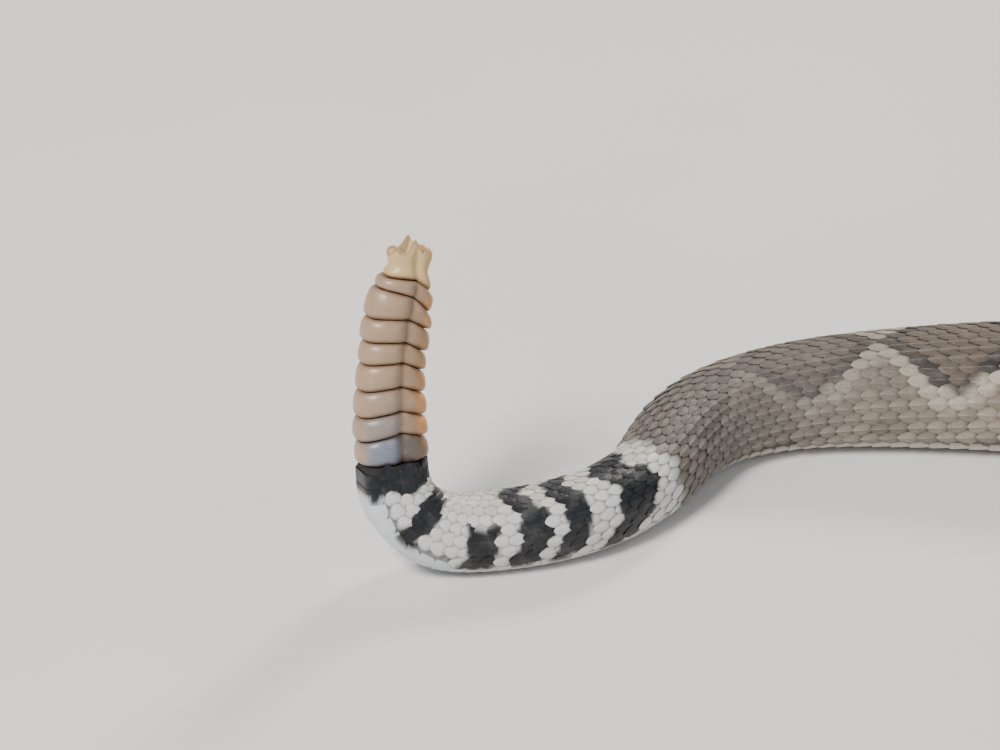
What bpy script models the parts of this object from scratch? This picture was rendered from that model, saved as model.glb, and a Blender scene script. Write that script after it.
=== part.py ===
# Western diamondback rattlesnake, life size, resting in a loose coil with its rattle raised.
# Metres, +Z up, the belly on the floor at z = 0. The model faces about -Y.
import math

import bmesh
import bpy
import numpy as np
from mathutils import Matrix, Vector

MM = 0.001
TOTAL_LENGTH = 1.250  # rattle base to snout
HEAD_START = 1.200  # where the neck meets the head, along the body from the rattle base
GAP = 0.0003  # air between pieces that meet
STEP = 0.001  # spacing of the points on the body's centre line

# Where the middle of the model's plan lies, measured from the lift of the tail
PLAN_CENTRE = (0.18620, 0.14376)

# Distance from the rattle base in metres, then half width, height of the back over the
# centre line and depth of the belly under it, in millimetres
GIRTH = (
    (0.000, 6.6, 8.5, 8.1),
    (0.016, 8.4, 8.9, 8.7),
    (0.042, 9.3, 9.1, 8.8),
    (0.074, 9.8, 9.5, 9.0),
    (0.090, 11.0, 10.6, 9.6),
    (0.120, 12.6, 11.9, 10.6),
    (0.180, 16.4, 15.0, 12.8),
    (0.260, 20.0, 18.0, 15.0),
    (0.450, 23.5, 21.0, 17.0),
    (0.700, 24.5, 22.0, 17.5),
    (0.920, 21.5, 19.5, 16.0),
    (1.080, 16.5, 15.2, 12.5),
    (1.150, 13.0, 12.2, 10.6),
    (1.195, 11.2, 10.6, 9.4),
    (1.250, 11.4, 10.6, 9.4),
)

# The way the body lies, as stretches of (length, turn to the left in degrees)
TAIL_HEADING = 8.6
TURNS = (
    (0.038, 0.0),
    (0.028, 30.0),
    (0.014, 20.0),
    (0.014, 18.0),
    (0.014, -43.0),
    (0.032, -31.0),
    (0.060, -10.0),
    (0.090, 6.0),
    (0.050, 4.0),
    (0.190, 92.0),
    (0.175, 91.0),
    (0.160, 92.0),
    (0.125, 96.0),
    (0.085, 92.0),
    (0.055, 80.0),
    (0.050, 100.0),
    (0.030, -2.0),
    (0.035, -28.0),
    (0.050, 0.0),
)
BEND_EASE = 0.010  # how far each turn runs into the next

# The raised end of the tail, and the raised neck
TAIL_LIFT = 0.042
TAIL_CURL = 90.2
TAIL_CURL_EASE = 1.87
TAIL_LEAN = 12.7
TAIL_TWIST = 14.0
TWIST_START = 0.030
NECK_RISE = (1.075, 1.185)
NECK_PITCH = 34.0
HEAD_DIP = 6.0
RISE_EASE = 0.045

# Where the body is parted into lengths, from the neck back to the vent
BODY_CUTS = (1.135, 1.085, 1.030, 0.975, 0.880, 0.770, 0.660, 0.550, 0.440, 0.330, 0.205, 0.082)
BODY_SCUTE = 0.009
NECK_SCUTE = 0.008
TAIL_SCUTE = 0.0040
SCUTE_LIP = 0.0006
SCUTE_FLAT = 0.55
SCUTE_STEP = 0.0004

# The body's cross-section: angles from the middle of the back to the edge of the belly plates
SEAM_ANGLE = 118.0
BACK_SIDES = 16
BELLY_ANGLES = (140.0, 160.0, 200.0, 220.0)

# The head, in its own frame: +X forward from the neck, +Z up, millimetres
HEAD_LENGTH = 50.0
# Distance forward, height of the crown, then half width and height of the edge of the
# crown, of the cheek and of the lip, and the depth of the throat
HEAD_FORM = (
    (-0.15, 10.6, 7.4, 7.7, 11.2, 0.6, 8.9, -6.0, 9.4),
    (5.0, 10.9, 8.4, 8.3, 13.2, -0.2, 11.4, -5.6, 9.8),
    (10.5, 11.3, 10.6, 8.9, 18.0, -1.4, 16.2, -5.6, 10.0),
    (16.0, 11.4, 11.4, 9.2, 19.2, -1.6, 17.2, -5.6, 9.8),
    (23.0, 11.0, 11.2, 9.3, 17.2, -1.2, 15.6, -5.2, 9.2),
    (30.0, 10.5, 10.8, 9.2, 13.6, -0.2, 13.2, -4.6, 8.4),
    (37.0, 9.7, 9.4, 8.8, 11.3, 0.8, 11.5, -3.8, 7.5),
    (43.0, 8.8, 7.6, 8.0, 9.7, 1.2, 10.0, -3.2, 6.5),
    (47.0, 8.0, 6.0, 7.1, 7.9, 1.4, 8.2, -2.8, 5.6),
    (49.2, 6.8, 4.4, 5.9, 5.7, 1.4, 5.9, -2.4, 4.6),
    (50.0, 5.2, 2.6, 4.4, 3.4, 1.2, 3.4, -1.8, 3.2),
)
HEAD_STATIONS = 23
HEAD_EASE = 1.25  # above 1 crowds the stations towards the snout
SPAN_STEPS = 4  # points along each span of the half section
THROAT_CORNER = 0.62  # half width of the flat of the throat over the lip's
MOUTH_CORNER = 9.0
MOUTH_LINE = (
    (9.0, -2.7),
    (14.0, -4.1),
    (21.0, -4.6),
    (29.0, -4.1),
    (37.0, -3.2),
    (45.0, -2.5),
    (52.0, -2.2),
)
JAW_GAP = 0.35
LIP_RIDGE = 0.45  # how far the lips stand out along the mouth
LIP_REACH = 1.5
EYE_RADIUS = 2.8
EYE_PLACE = (34.5, 9.7, 4.7)
BROW_SIZE = (5.4, 3.1, 1.35)
BROW_PLACE = (33.8, 9.2, 8.6)
BROW_TILT = 12.0  # outwards and down
PIT_RADIUS = 1.5
PIT_PLACE = (40.4, 10.9, 1.7)
NOSTRIL_RADIUS = 1.2
NOSTRIL_PLACE = (46.3, 8.5, 3.3)
CUT_SIDES = 12
SOCKET_SIDES = 18

# The rattle, from the tail to its broken tip: height of each segment, its full depth from
# belly side to back, in millimetres, then in degrees towards the back the turn of the
# stack at its foot and the slope of its foot's rim
RATTLE = (
    (5.5, 17.5, -2.0, 2.0),
    (5.4, 17.8, 2.0, 1.8),
    (5.9, 17.4, 2.6, 2.4),
    (5.9, 16.7, 2.5, 3.5),
    (5.0, 16.4, 2.8, 5.6),
    (5.5, 16.9, 2.4, 7.4),
    (5.6, 16.9, 3.3, 5.8),
    (3.7, 15.0, 9.6, 11.0),
)
RATTLE_TIP = (7.0, 12.0, -15.0, 20.0)
RATTLE_FLATNESS = 0.62  # thickness from side to side over depth
RATTLE_GROOVE = 0.20  # depth of the groove down each side, as a share of the thickness
RATTLE_GROOVE_PLACE = 0.28  # nearer the back, as a share of half the depth
RATTLE_BOW = 1.8  # how far a segment's edge arches towards the tip at the groove
RATTLE_SIDES = 20
# Share of the height, and share of the width there
SEGMENT_PROFILE = ((0.0, 0.90), (0.16, 0.985), (0.45, 1.0), (0.78, 0.97), (1.0, 0.86))
TIP_PROFILE = ((0.0, 0.90), (0.18, 1.0), (0.52, 0.80), (0.86, 0.98), (1.0, 0.86))
PRONG_HEIGHT = 3.6
PRONG_RADIUS = 1.7

SOLIDS = {}


def clear_scene():
    for old in list(bpy.data.objects):
        bpy.data.objects.remove(old)


def finish(name, colour, roughness):
    """A plain material for one kind of surface."""
    material = bpy.data.materials.new(name)
    material.use_nodes = True
    shader = material.node_tree.nodes["Principled BSDF"]
    shader.inputs["Base Color"].default_value = (*colour, 1.0)
    shader.inputs["Roughness"].default_value = roughness
    shader.inputs["Metallic"].default_value = 0.0
    return material


def eased(x):
    x = min(max(x, 0.0), 1.0)
    return x * x * (3.0 - 2.0 * x)


def curve_through(stations, column, at):
    """A smooth curve through a table's column that never overshoots its rows."""
    xs = [row[0] for row in stations]
    ys = [row[column] for row in stations]
    slopes = [(ys[i + 1] - ys[i]) / (xs[i + 1] - xs[i]) for i in range(len(xs) - 1)]
    tangents = [slopes[0]]
    for before, after in zip(slopes, slopes[1:]):
        level = before * after <= 0.0
        tangents.append(0.0 if level else 2.0 / (1.0 / before + 1.0 / after))
    tangents.append(slopes[-1])
    i = min(max(int(np.searchsorted(xs, at)) - 1, 0), len(xs) - 2)
    span = xs[i + 1] - xs[i]
    t = min(max((at - xs[i]) / span, 0.0), 1.0)
    return (
        (2 * t**3 - 3 * t**2 + 1) * ys[i]
        + (t**3 - 2 * t**2 + t) * span * tangents[i]
        + (3 * t**2 - 2 * t**3) * ys[i + 1]
        + (t**3 - t**2) * span * tangents[i + 1]
    )


def half_width(at):
    return curve_through(GIRTH, 1, at) * MM


def back_height(at):
    return curve_through(GIRTH, 2, at) * MM


def belly_depth(at):
    return curve_through(GIRTH, 3, at) * MM


def heading_along():
    """The heading at each point of the centre line, in radians, from the listed turns."""
    bend = np.zeros(round(TOTAL_LENGTH / STEP) + 1)
    start = 0.0
    for length, turn in TURNS:
        bend[round(start / STEP) : round((start + length) / STEP)] += math.radians(turn) / length
        start += length
    reach = round(BEND_EASE / STEP)
    window = np.ones(2 * reach + 1) / (2 * reach + 1)
    for _ in range(2):
        bend = np.convolve(np.pad(bend, reach, mode="edge"), window, mode="valid")
    turned = np.concatenate([[0.0], np.cumsum((bend[1:] + bend[:-1]) / 2) * STEP])
    return math.radians(TAIL_HEADING) + turned


def pitch_at(at):
    """How steeply the centre line climbs towards the head there, in radians."""
    curl = math.radians(TAIL_CURL) * eased((TAIL_LIFT - at) / TAIL_LIFT) ** TAIL_CURL_EASE
    start, end = NECK_RISE
    climb = math.radians(NECK_PITCH) * eased((at - start) / RISE_EASE)
    climb *= 1.0 - eased((at - end + 0.8 * RISE_EASE) / RISE_EASE)
    dip = math.radians(HEAD_DIP) * eased((at - end) / (0.7 * RISE_EASE))
    return climb - dip - curl


def lay_body():
    """The centre line with a frame at each point: place, forward, left and back directions."""
    headings = heading_along()
    frames = []
    for i, heading in enumerate(headings):
        at = i * STEP
        pitch = pitch_at(at)
        lean = math.radians(TAIL_LEAN) * eased((TAIL_LIFT - at) / (0.8 * TAIL_LIFT))
        level = Vector((math.cos(heading), math.sin(heading), 0.0))
        left = Vector((-math.sin(heading), math.cos(heading), 0.0))
        up = math.cos(lean) * Vector((0, 0, 1)) + math.sin(lean) * left
        forward = math.cos(pitch) * level + math.sin(pitch) * up
        twist = math.radians(TAIL_TWIST) * eased((TWIST_START - at) / TWIST_START)
        back = math.cos(pitch) * up - math.sin(pitch) * level
        back.rotate(Matrix.Rotation(-twist, 3, forward))
        frames.append([Vector(), forward, back.cross(forward), back])
    lift = round(TAIL_LIFT / STEP)
    frames[lift][0] = Vector((-PLAN_CENTRE[0], -PLAN_CENTRE[1], belly_depth(TAIL_LIFT)))
    for i in range(lift + 1, len(frames)):
        stride = (frames[i][1] + frames[i - 1][1]) * STEP / 2
        frames[i][0] = frames[i - 1][0] + stride
        if i * STEP < NECK_RISE[0]:
            frames[i][0].z = belly_depth(i * STEP)
    for i in range(lift - 1, -1, -1):
        stride = (frames[i][1] + frames[i + 1][1]) * STEP / 2
        frames[i][0] = frames[i + 1][0] - stride
    return frames


FRAMES = lay_body()


def frame_at(at):
    """Place, forward, left and back directions anywhere along the body."""
    x = min(max(at / STEP, 0.0), len(FRAMES) - 1.000001)
    i = int(x)
    place, forward, left, back = (a.lerp(b, x - i) for a, b in zip(FRAMES[i], FRAMES[i + 1]))
    return place, forward.normalized(), left.normalized(), back.normalized()


def section_point(at, angle, sunk=0.0):
    """A point on the skin: angle in degrees from the middle of the back, sunk inwards."""
    place, _, left, back = frame_at(at)
    a = math.radians(angle)
    side = math.copysign(abs(math.sin(a)) ** 0.92, math.sin(a))
    across = side * (half_width(at) - sunk)
    if math.cos(a) >= 0.0:
        height = math.cos(a) * (back_height(at) - sunk)
    else:
        depth = belly_depth(at) - sunk
        height = -min(1.10 * abs(math.cos(a)) ** 0.75, 1.0) * depth
    point = place + across * left + height * back
    point.z = max(point.z, 0.0)
    return point


def solid(name, material, mesh_data):
    """A closed mesh, its faces turned outwards, as a named object."""
    bmesh.ops.recalc_face_normals(mesh_data, faces=mesh_data.faces)
    mesh = bpy.data.meshes.new(name)
    mesh_data.to_mesh(mesh)
    mesh_data.free()
    mesh.materials.append(material)
    mesh.shade_smooth()
    mesh.set_sharp_from_angle(angle=math.radians(35.0))
    made = bpy.data.objects.new(name, mesh)
    bpy.context.scene.collection.objects.link(made)
    SOLIDS[name] = made
    return made


def add_ring(mesh_data, points):
    return [mesh_data.verts.new(p) for p in points]


def cap(mesh_data, ring, centre):
    """Closes a ring with triangles that meet at a point."""
    middle = mesh_data.verts.new(centre)
    for i, point in enumerate(ring):
        mesh_data.faces.new((point, ring[(i + 1) % len(ring)], middle))


def bridge(mesh_data, first, second):
    """Quads between two closed rings of as many points."""
    count = len(first)
    for i in range(count):
        j = (i + 1) % count
        mesh_data.faces.new((first[i], first[j], second[j], second[i]))


def body_length(name, material, tailward, headward, pitch):
    """One length of the body, with overlapping plates raised along its belly.

    Each plate has a free edge towards the tail. Along the back one ring of points serves
    a plate; the belly has three, for the edge, the flat behind it and the tuck in front.
    """
    start, end = tailward + GAP / 2, headward - GAP / 2
    count = max(1, round((end - start) / pitch))
    length = (end - start) / count
    back_angles = [SEAM_ANGLE * (2 * i / BACK_SIDES - 1) for i in range(BACK_SIDES + 1)]
    mesh_data = bmesh.new()
    backs, bellies = [], []
    for i in range(count + 1):
        at = start + i * length
        backs.append(add_ring(mesh_data, [section_point(at, a) for a in back_angles]))
        tuck_at = at + length - SCUTE_STEP
        rows = ((at, 0.0), (at + SCUTE_FLAT * length, 0.0), (tuck_at, SCUTE_LIP))
        for row_at, sunk in rows if i < count else rows[:1]:
            points = [section_point(row_at, a, sunk) for a in BELLY_ANGLES]
            bellies.append(add_ring(mesh_data, points))
    for first, second in zip(backs, backs[1:]):
        for i in range(BACK_SIDES):
            mesh_data.faces.new((first[i], first[i + 1], second[i + 1], second[i]))
    for first, second in zip(bellies, bellies[1:]):
        for i in range(len(BELLY_ANGLES) - 1):
            mesh_data.faces.new((first[i], first[i + 1], second[i + 1], second[i]))
    for seam, edge in ((-1, 0), (0, -1)):
        for i in range(count):
            near, far = backs[i][seam], backs[i + 1][seam]
            rows = [bellies[3 * i + j][edge] for j in range(4)]
            mesh_data.faces.new((near, rows[0], rows[1]))
            mesh_data.faces.new((near, rows[1], rows[2]))
            mesh_data.faces.new((near, rows[2], far))
            mesh_data.faces.new((far, rows[2], rows[3]))
    mesh_data.faces.new(backs[0] + bellies[0])
    mesh_data.faces.new(backs[-1] + bellies[-1])
    return solid(name, material, mesh_data)


def head_place():
    """The matrix from the head's own millimetres to the world."""
    place, forward, left, back = frame_at(HEAD_START)
    turn = Matrix((forward, left, back)).transposed().to_4x4()
    return Matrix.Translation(place) @ turn @ Matrix.Scale(MM, 4)


def mouth_height(along):
    return curve_through(MOUTH_LINE, 1, along)


def half_section(along):
    """Points on the right half of the head's section, from the crown to the throat."""
    crown, edge, edge_z, cheek, cheek_z, lip, lip_z, throat = (
        curve_through(HEAD_FORM, column, along) for column in range(1, 9)
    )
    flat = THROAT_CORNER * lip
    marks = [(0.0, crown), (edge, edge_z), (cheek, cheek_z), (lip, lip_z)]
    marks += [(flat, -throat), (0.0, -throat)]
    guides = [(-edge, edge_z), *marks, (-flat, -throat)]
    points = []
    for i in range(1, len(guides) - 2):
        before, here, after, beyond = (np.array(g) for g in guides[i - 1 : i + 3])
        for step in range(SPAN_STEPS):
            t = step / SPAN_STEPS
            slope_here = (after - before) / 2
            slope_after = (beyond - here) / 2
            point = (2 * t**3 - 3 * t**2 + 1) * here + (t**3 - 2 * t**2 + t) * slope_here
            point += (3 * t**2 - 2 * t**3) * after + (t**3 - t**2) * slope_after
            points.append(lip_raised(along, *point))
    return [*points, marks[-1]]


def lip_raised(along, across, height):
    """Moves a point out where the lips stand proud above and below the mouth."""
    near = 1.0 - abs(height - mouth_height(along)) / (2 * LIP_REACH)
    ridge = LIP_RIDGE * eased(near) * eased((along - MOUTH_CORNER) / 6.0) * eased(across / 4.0)
    return (across + ridge, height)


def head_ring(along, place):
    half = half_section(along)
    left = [(-across, height) for across, height in half[-2:0:-1]]
    return [place @ Vector((along, -across, height)) for across, height in half + left]


def whole_head(place):
    """The closed head, before the mouth, eyes, pits and nostrils are cut."""
    mesh_data = bmesh.new()
    rings = []
    first = GAP / MM / 2
    for i in range(HEAD_STATIONS):
        left = (1.0 - i / (HEAD_STATIONS - 1)) ** HEAD_EASE
        along = HEAD_LENGTH - (HEAD_LENGTH - first) * left
        rings.append(add_ring(mesh_data, head_ring(along, place)))
    for first, second in zip(rings, rings[1:]):
        bridge(mesh_data, first, second)
    mesh_data.faces.new(rings[0])
    mesh_data.faces.new(rings[-1])
    return mesh_data


def ball(name, place, centre, size, detail, tilt=0.0):
    """An ellipsoid for a cut or a join, in the head's frame, tilted about its length."""
    mesh_data = bmesh.new()
    bmesh.ops.create_uvsphere(mesh_data, u_segments=detail, v_segments=detail // 2, radius=1.0)
    turn = Matrix.Rotation(math.radians(tilt), 4, "X")
    shape = place @ Matrix.Translation(centre) @ turn @ Matrix.Diagonal((*size, 1.0))
    bmesh.ops.transform(mesh_data, matrix=shape, verts=mesh_data.verts)
    return helper(name, mesh_data)


def helper(name, mesh_data):
    """An object that only shapes others."""
    bmesh.ops.recalc_face_normals(mesh_data, faces=mesh_data.faces)
    mesh = bpy.data.meshes.new(name)
    mesh_data.to_mesh(mesh)
    mesh_data.free()
    made = bpy.data.objects.new(name, mesh)
    made.hide_render = True
    made.display_type = "WIRE"
    bpy.context.scene.collection.objects.link(made)
    return made


def apply_boolean(target, operation, tools):
    """Cuts or joins a set of closed meshes into the target, then removes them."""
    group = bpy.data.collections.new("tools")
    for tool in tools:
        group.objects.link(tool)
    boolean = target.modifiers.new(operation.lower(), "BOOLEAN")
    boolean.operand_type = "COLLECTION"
    boolean.collection = group
    boolean.operation = operation
    boolean.solver = "EXACT"
    graph = bpy.context.evaluated_depsgraph_get()
    result = bpy.data.meshes.new_from_object(target.evaluated_get(graph))
    target.modifiers.remove(boolean)
    target.data = keep_largest(result)
    for tool in tools:
        bpy.data.objects.remove(tool)
    bpy.data.collections.remove(group)


def keep_largest(mesh):
    """Drops every surface of a mesh but the one with the most faces."""
    mesh_data = bmesh.new()
    mesh_data.from_mesh(mesh)
    left = set(mesh_data.verts)
    surfaces = []
    while left:
        surface = []
        edge = [left.pop()]
        while edge:
            point = edge.pop()
            surface.append(point)
            near = {e.other_vert(point) for e in point.link_edges} & left
            left -= near
            edge += near
        surfaces.append(surface)
    surfaces.sort(key=len)
    scraps = [point for surface in surfaces[:-1] for point in surface]
    bmesh.ops.delete(mesh_data, geom=scraps, context="VERTS")
    mesh_data.to_mesh(mesh)
    mesh_data.free()
    return mesh


def mouth_block(name, place, drop):
    """All that lies under the line of the mouth, lowered by drop, as a wide block."""
    half = 30.0
    floor = -20.0
    corner_back = MOUTH_CORNER + drop
    line = [(corner_back, MOUTH_LINE[0][1] - drop)]
    line += [(x, z - drop) for x, z in MOUTH_LINE[1:]]
    outline = line + [(MOUTH_LINE[-1][0], floor), (corner_back - 6.0, floor)]
    mesh_data = bmesh.new()
    near = add_ring(mesh_data, [place @ Vector((x, -half, z)) for x, z in outline])
    far = add_ring(mesh_data, [place @ Vector((x, half, z)) for x, z in outline])
    bridge(mesh_data, near, far)
    mesh_data.faces.new(near)
    mesh_data.faces.new(far)
    return helper(name, mesh_data)


def mirrored(place_on_left):
    x, y, z = place_on_left
    return ((x, y, z), (x, -y, z))


def build_head(skin, jaw_skin):
    """The head with its brows, sockets, pits and nostrils, and the lower jaw under it."""
    place = head_place()
    head = solid("head", skin, whole_head(place))
    left_brow, right_brow = mirrored(BROW_PLACE)
    brows = [
        ball("brow", place, left_brow, BROW_SIZE, CUT_SIDES, -BROW_TILT),
        ball("brow", place, right_brow, BROW_SIZE, CUT_SIDES, BROW_TILT),
    ]
    apply_boolean(head, "UNION", brows)
    sockets = [EYE_RADIUS + GAP / MM] * 3
    cuts = [ball("socket", place, at, sockets, SOCKET_SIDES) for at in mirrored(EYE_PLACE)]
    for radius, spot in ((PIT_RADIUS, PIT_PLACE), (NOSTRIL_RADIUS, NOSTRIL_PLACE)):
        cuts += [ball("hollow", place, at, [radius] * 3, CUT_SIDES) for at in mirrored(spot)]
    cuts.append(mouth_block("mouth", place, 0.0))
    apply_boolean(head, "DIFFERENCE", cuts)
    jaw = solid("lower_jaw", jaw_skin, whole_head(place))
    apply_boolean(jaw, "INTERSECT", [mouth_block("jaw_block", place, JAW_GAP)])


def build_eyes(material):
    place = head_place()
    for name, at in zip(("eye_left", "eye_right"), mirrored(EYE_PLACE)):
        mesh_data = bmesh.new()
        bmesh.ops.create_uvsphere(mesh_data, u_segments=14, v_segments=9, radius=EYE_RADIUS)
        shape = place @ Matrix.Translation(at) @ Matrix.Rotation(math.pi / 2, 4, "X")
        bmesh.ops.transform(mesh_data, matrix=shape, verts=mesh_data.verts)
        solid(name, material, mesh_data)


def rattle_ring(depth, shrink, arch, frame):
    """A ring of the rattle: two lobes with a groove down each side, arched at the groove."""
    points = []
    for i in range(RATTLE_SIDES):
        a = math.tau * i / RATTLE_SIDES
        lobe = math.copysign(abs(math.cos(a)) ** 0.80, math.cos(a))
        flank = math.copysign(abs(math.sin(a)) ** 0.80, math.sin(a))
        from_groove = lobe - RATTLE_GROOVE_PLACE
        groove = 1.0 - RATTLE_GROOVE * math.exp(-((from_groove / 0.22) ** 2))
        reach = 1.0 - math.copysign(RATTLE_GROOVE_PLACE, from_groove)
        peak = 1.0 - abs(from_groove / reach) ** 1.6
        towards_back = depth / 2 * shrink * lobe
        sideways = depth / 2 * RATTLE_FLATNESS * shrink * flank * groove
        points.append(frame @ Vector((sideways, towards_back, arch * peak)))
    return points


def rattle_frames():
    """Each segment's frame: +Z to the rattle's tip, +Y to the back, in millimetres."""
    place, forward, left, back = frame_at(0.0)
    turn = Matrix((-left, back, -forward)).transposed().to_4x4()
    frame = Matrix.Translation(place) @ turn @ Matrix.Scale(MM, 4)
    frames = []
    for height, _, bend, _ in (*RATTLE, RATTLE_TIP):
        frame = frame @ Matrix.Rotation(-math.radians(bend), 4, "X")
        frames.append(frame)
        frame = frame @ Matrix.Translation((0.0, 0.0, height))
    return frames


def build_rattle(material):
    """Eight loose segments and the broken tip, each a band that meets the next."""
    frames = rattle_frames()
    bands = (*RATTLE, RATTLE_TIP)
    top_slopes = [bend + slope for _, _, bend, slope in bands[1:]] + [0.0]
    gap = GAP / MM
    for i, (height, depth, _, slope) in enumerate(bands):
        profile = TIP_PROFILE if i == len(RATTLE) else SEGMENT_PROFILE
        mesh_data = bmesh.new()
        rings, middles = [], []
        for share, shrink in profile:
            rise = Matrix.Translation((0.0, 0.0, gap + share * (height - gap)))
            tilt = -math.radians(slope + share * (top_slopes[i] - slope))
            level = frames[i] @ rise @ Matrix.Rotation(tilt, 4, "X")
            arch = RATTLE_BOW * (share if i == 0 else 1.0)
            rings.append(add_ring(mesh_data, rattle_ring(depth, shrink, arch, level)))
            middles.append(level @ Vector((0.0, 0.0, 0.6 * arch)))
        for first, second in zip(rings, rings[1:]):
            bridge(mesh_data, first, second)
        cap(mesh_data, rings[0], middles[0])
        cap(mesh_data, rings[-1], middles[-1])
        made = solid(f"rattle_segment_{i + 1}", material, mesh_data)
    apply_boolean(made, "UNION", prongs(frames[-1]))


def prongs(frame):
    """Three horns left on the tip where the oldest segments broke away."""
    height, depth, _, _ = RATTLE_TIP
    made = []
    for across, tall in ((-0.72, 0.55), (0.05, 1.0), (0.74, 0.6)):
        mesh_data = bmesh.new()
        rise = PRONG_HEIGHT * tall + 1.6
        bmesh.ops.create_cone(
            mesh_data,
            cap_ends=True,
            segments=7,
            radius1=PRONG_RADIUS,
            radius2=0.45,
            depth=rise,
        )
        lean = Matrix.Rotation(-math.radians(38.0) * across, 4, "X")
        at = Matrix.Translation((0.0, across * depth / 2 * 0.86, height - 1.2))
        shape = frame @ at @ lean @ Matrix.Translation((0.0, 0.0, rise / 2))
        bmesh.ops.transform(mesh_data, matrix=shape, verts=mesh_data.verts)
        made.append(helper("prong", mesh_data))
    return made


def build_body(skin, tail_skin):
    """The neck, the lengths of the body and the tail, parted across by thin cuts."""
    cuts = (HEAD_START, *BODY_CUTS)
    body_length("neck", skin, cuts[1], cuts[0], NECK_SCUTE)
    for i, (headward, tailward) in enumerate(zip(cuts[1:], cuts[2:])):
        body_length(f"body_length_{i + 1:02d}", skin, tailward, headward, BODY_SCUTE)
    body_length("tail", tail_skin, 0.0, cuts[-1], TAIL_SCUTE)


def main():
    clear_scene()
    skin = finish("dusty_brown_scales", (0.30, 0.26, 0.22), 0.62)
    tail_skin = finish("banded_tail_scales", (0.48, 0.47, 0.45), 0.55)
    jaw_skin = finish("pale_jaw_scales", (0.52, 0.48, 0.42), 0.60)
    keratin = finish("rattle_keratin", (0.62, 0.47, 0.30), 0.38)
    eye = finish("eye_bronze", (0.20, 0.15, 0.08), 0.10)
    build_body(skin, tail_skin)
    build_head(skin, jaw_skin)
    build_eyes(eye)
    build_rattle(keratin)


main()
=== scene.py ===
# %% [markdown]
# # A rattlesnake that keeps still
# This lesson dresses a finished, measured model of a western diamondback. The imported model
# is the frame: every skin, plate and rattle piece is made where its solids are, in metres.

import math

import bmesh
import bpy
import numpy as np
from mathutils import Matrix, Vector


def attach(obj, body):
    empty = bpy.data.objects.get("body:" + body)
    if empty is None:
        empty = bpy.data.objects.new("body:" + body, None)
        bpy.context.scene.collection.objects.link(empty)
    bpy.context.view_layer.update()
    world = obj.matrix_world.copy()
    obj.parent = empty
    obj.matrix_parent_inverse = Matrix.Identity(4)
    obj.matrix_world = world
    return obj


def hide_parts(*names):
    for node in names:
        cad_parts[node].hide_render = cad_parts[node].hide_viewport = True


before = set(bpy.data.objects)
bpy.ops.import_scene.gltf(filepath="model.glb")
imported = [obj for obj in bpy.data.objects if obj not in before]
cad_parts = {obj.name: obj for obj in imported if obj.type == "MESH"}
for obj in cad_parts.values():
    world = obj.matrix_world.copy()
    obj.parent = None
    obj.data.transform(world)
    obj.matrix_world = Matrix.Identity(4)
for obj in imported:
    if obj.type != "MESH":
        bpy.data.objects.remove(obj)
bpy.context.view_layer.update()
MM = 0.001
rng = np.random.default_rng(7)

# %% [markdown]
# ## The line of the body
# A snake is one long tube, so nearly everything follows from three short tables: how the
# body turns, how thick it is, and how the head changes shape. Points could be placed by
# hand along a curve, but then each new length would need new points. Turns in degrees are
# how a person would describe a lying snake, and adding them up gives the line.

# %% The named sizes of the body
TOTAL_LENGTH = 1.250
HEAD_START = 1.200
STEP = 0.001
PLAN_CENTRE = (0.18620, 0.14376)

# Distance from the rattle, then half width, back height and belly depth in millimetres
GIRTH = (
    (0.000, 6.6, 8.5, 8.1),
    (0.016, 8.4, 8.9, 8.7),
    (0.042, 9.3, 9.1, 8.8),
    (0.074, 9.8, 9.5, 9.0),
    (0.090, 11.0, 10.6, 9.6),
    (0.120, 12.6, 11.9, 10.6),
    (0.180, 16.4, 15.0, 12.8),
    (0.260, 20.0, 18.0, 15.0),
    (0.450, 23.5, 21.0, 17.0),
    (0.700, 24.5, 22.0, 17.5),
    (0.920, 21.5, 19.5, 16.0),
    (1.080, 16.5, 15.2, 12.5),
    (1.150, 13.0, 12.2, 10.6),
    (1.195, 11.2, 10.6, 9.4),
    (1.250, 11.4, 10.6, 9.4),
)
TAIL_HEADING = 8.6
# Length of each stretch in metres and its turn to the left in degrees
TURNS = (
    (0.038, 0.0),
    (0.028, 30.0),
    (0.014, 20.0),
    (0.014, 18.0),
    (0.014, -43.0),
    (0.032, -31.0),
    (0.060, -10.0),
    (0.090, 6.0),
    (0.050, 4.0),
    (0.190, 92.0),
    (0.175, 91.0),
    (0.160, 92.0),
    (0.125, 96.0),
    (0.085, 92.0),
    (0.055, 80.0),
    (0.050, 100.0),
    (0.030, -2.0),
    (0.035, -28.0),
    (0.050, 0.0),
)
BEND_EASE = 0.010
TAIL_LIFT = 0.042
TAIL_CURL = 90.2
TAIL_CURL_EASE = 1.87
TAIL_LEAN = 12.7
TAIL_TWIST = 14.0
TWIST_START = 0.030
NECK_RISE = (1.075, 1.185)
NECK_PITCH = 34.0
HEAD_DIP = 6.0
RISE_EASE = 0.045
SEAM_ANGLE = 118.0  # from the middle of the back to the edge of the belly plates


def eased(x):
    x = np.clip(x, 0.0, 1.0)
    return x * x * (3.0 - 2.0 * x)


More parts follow.
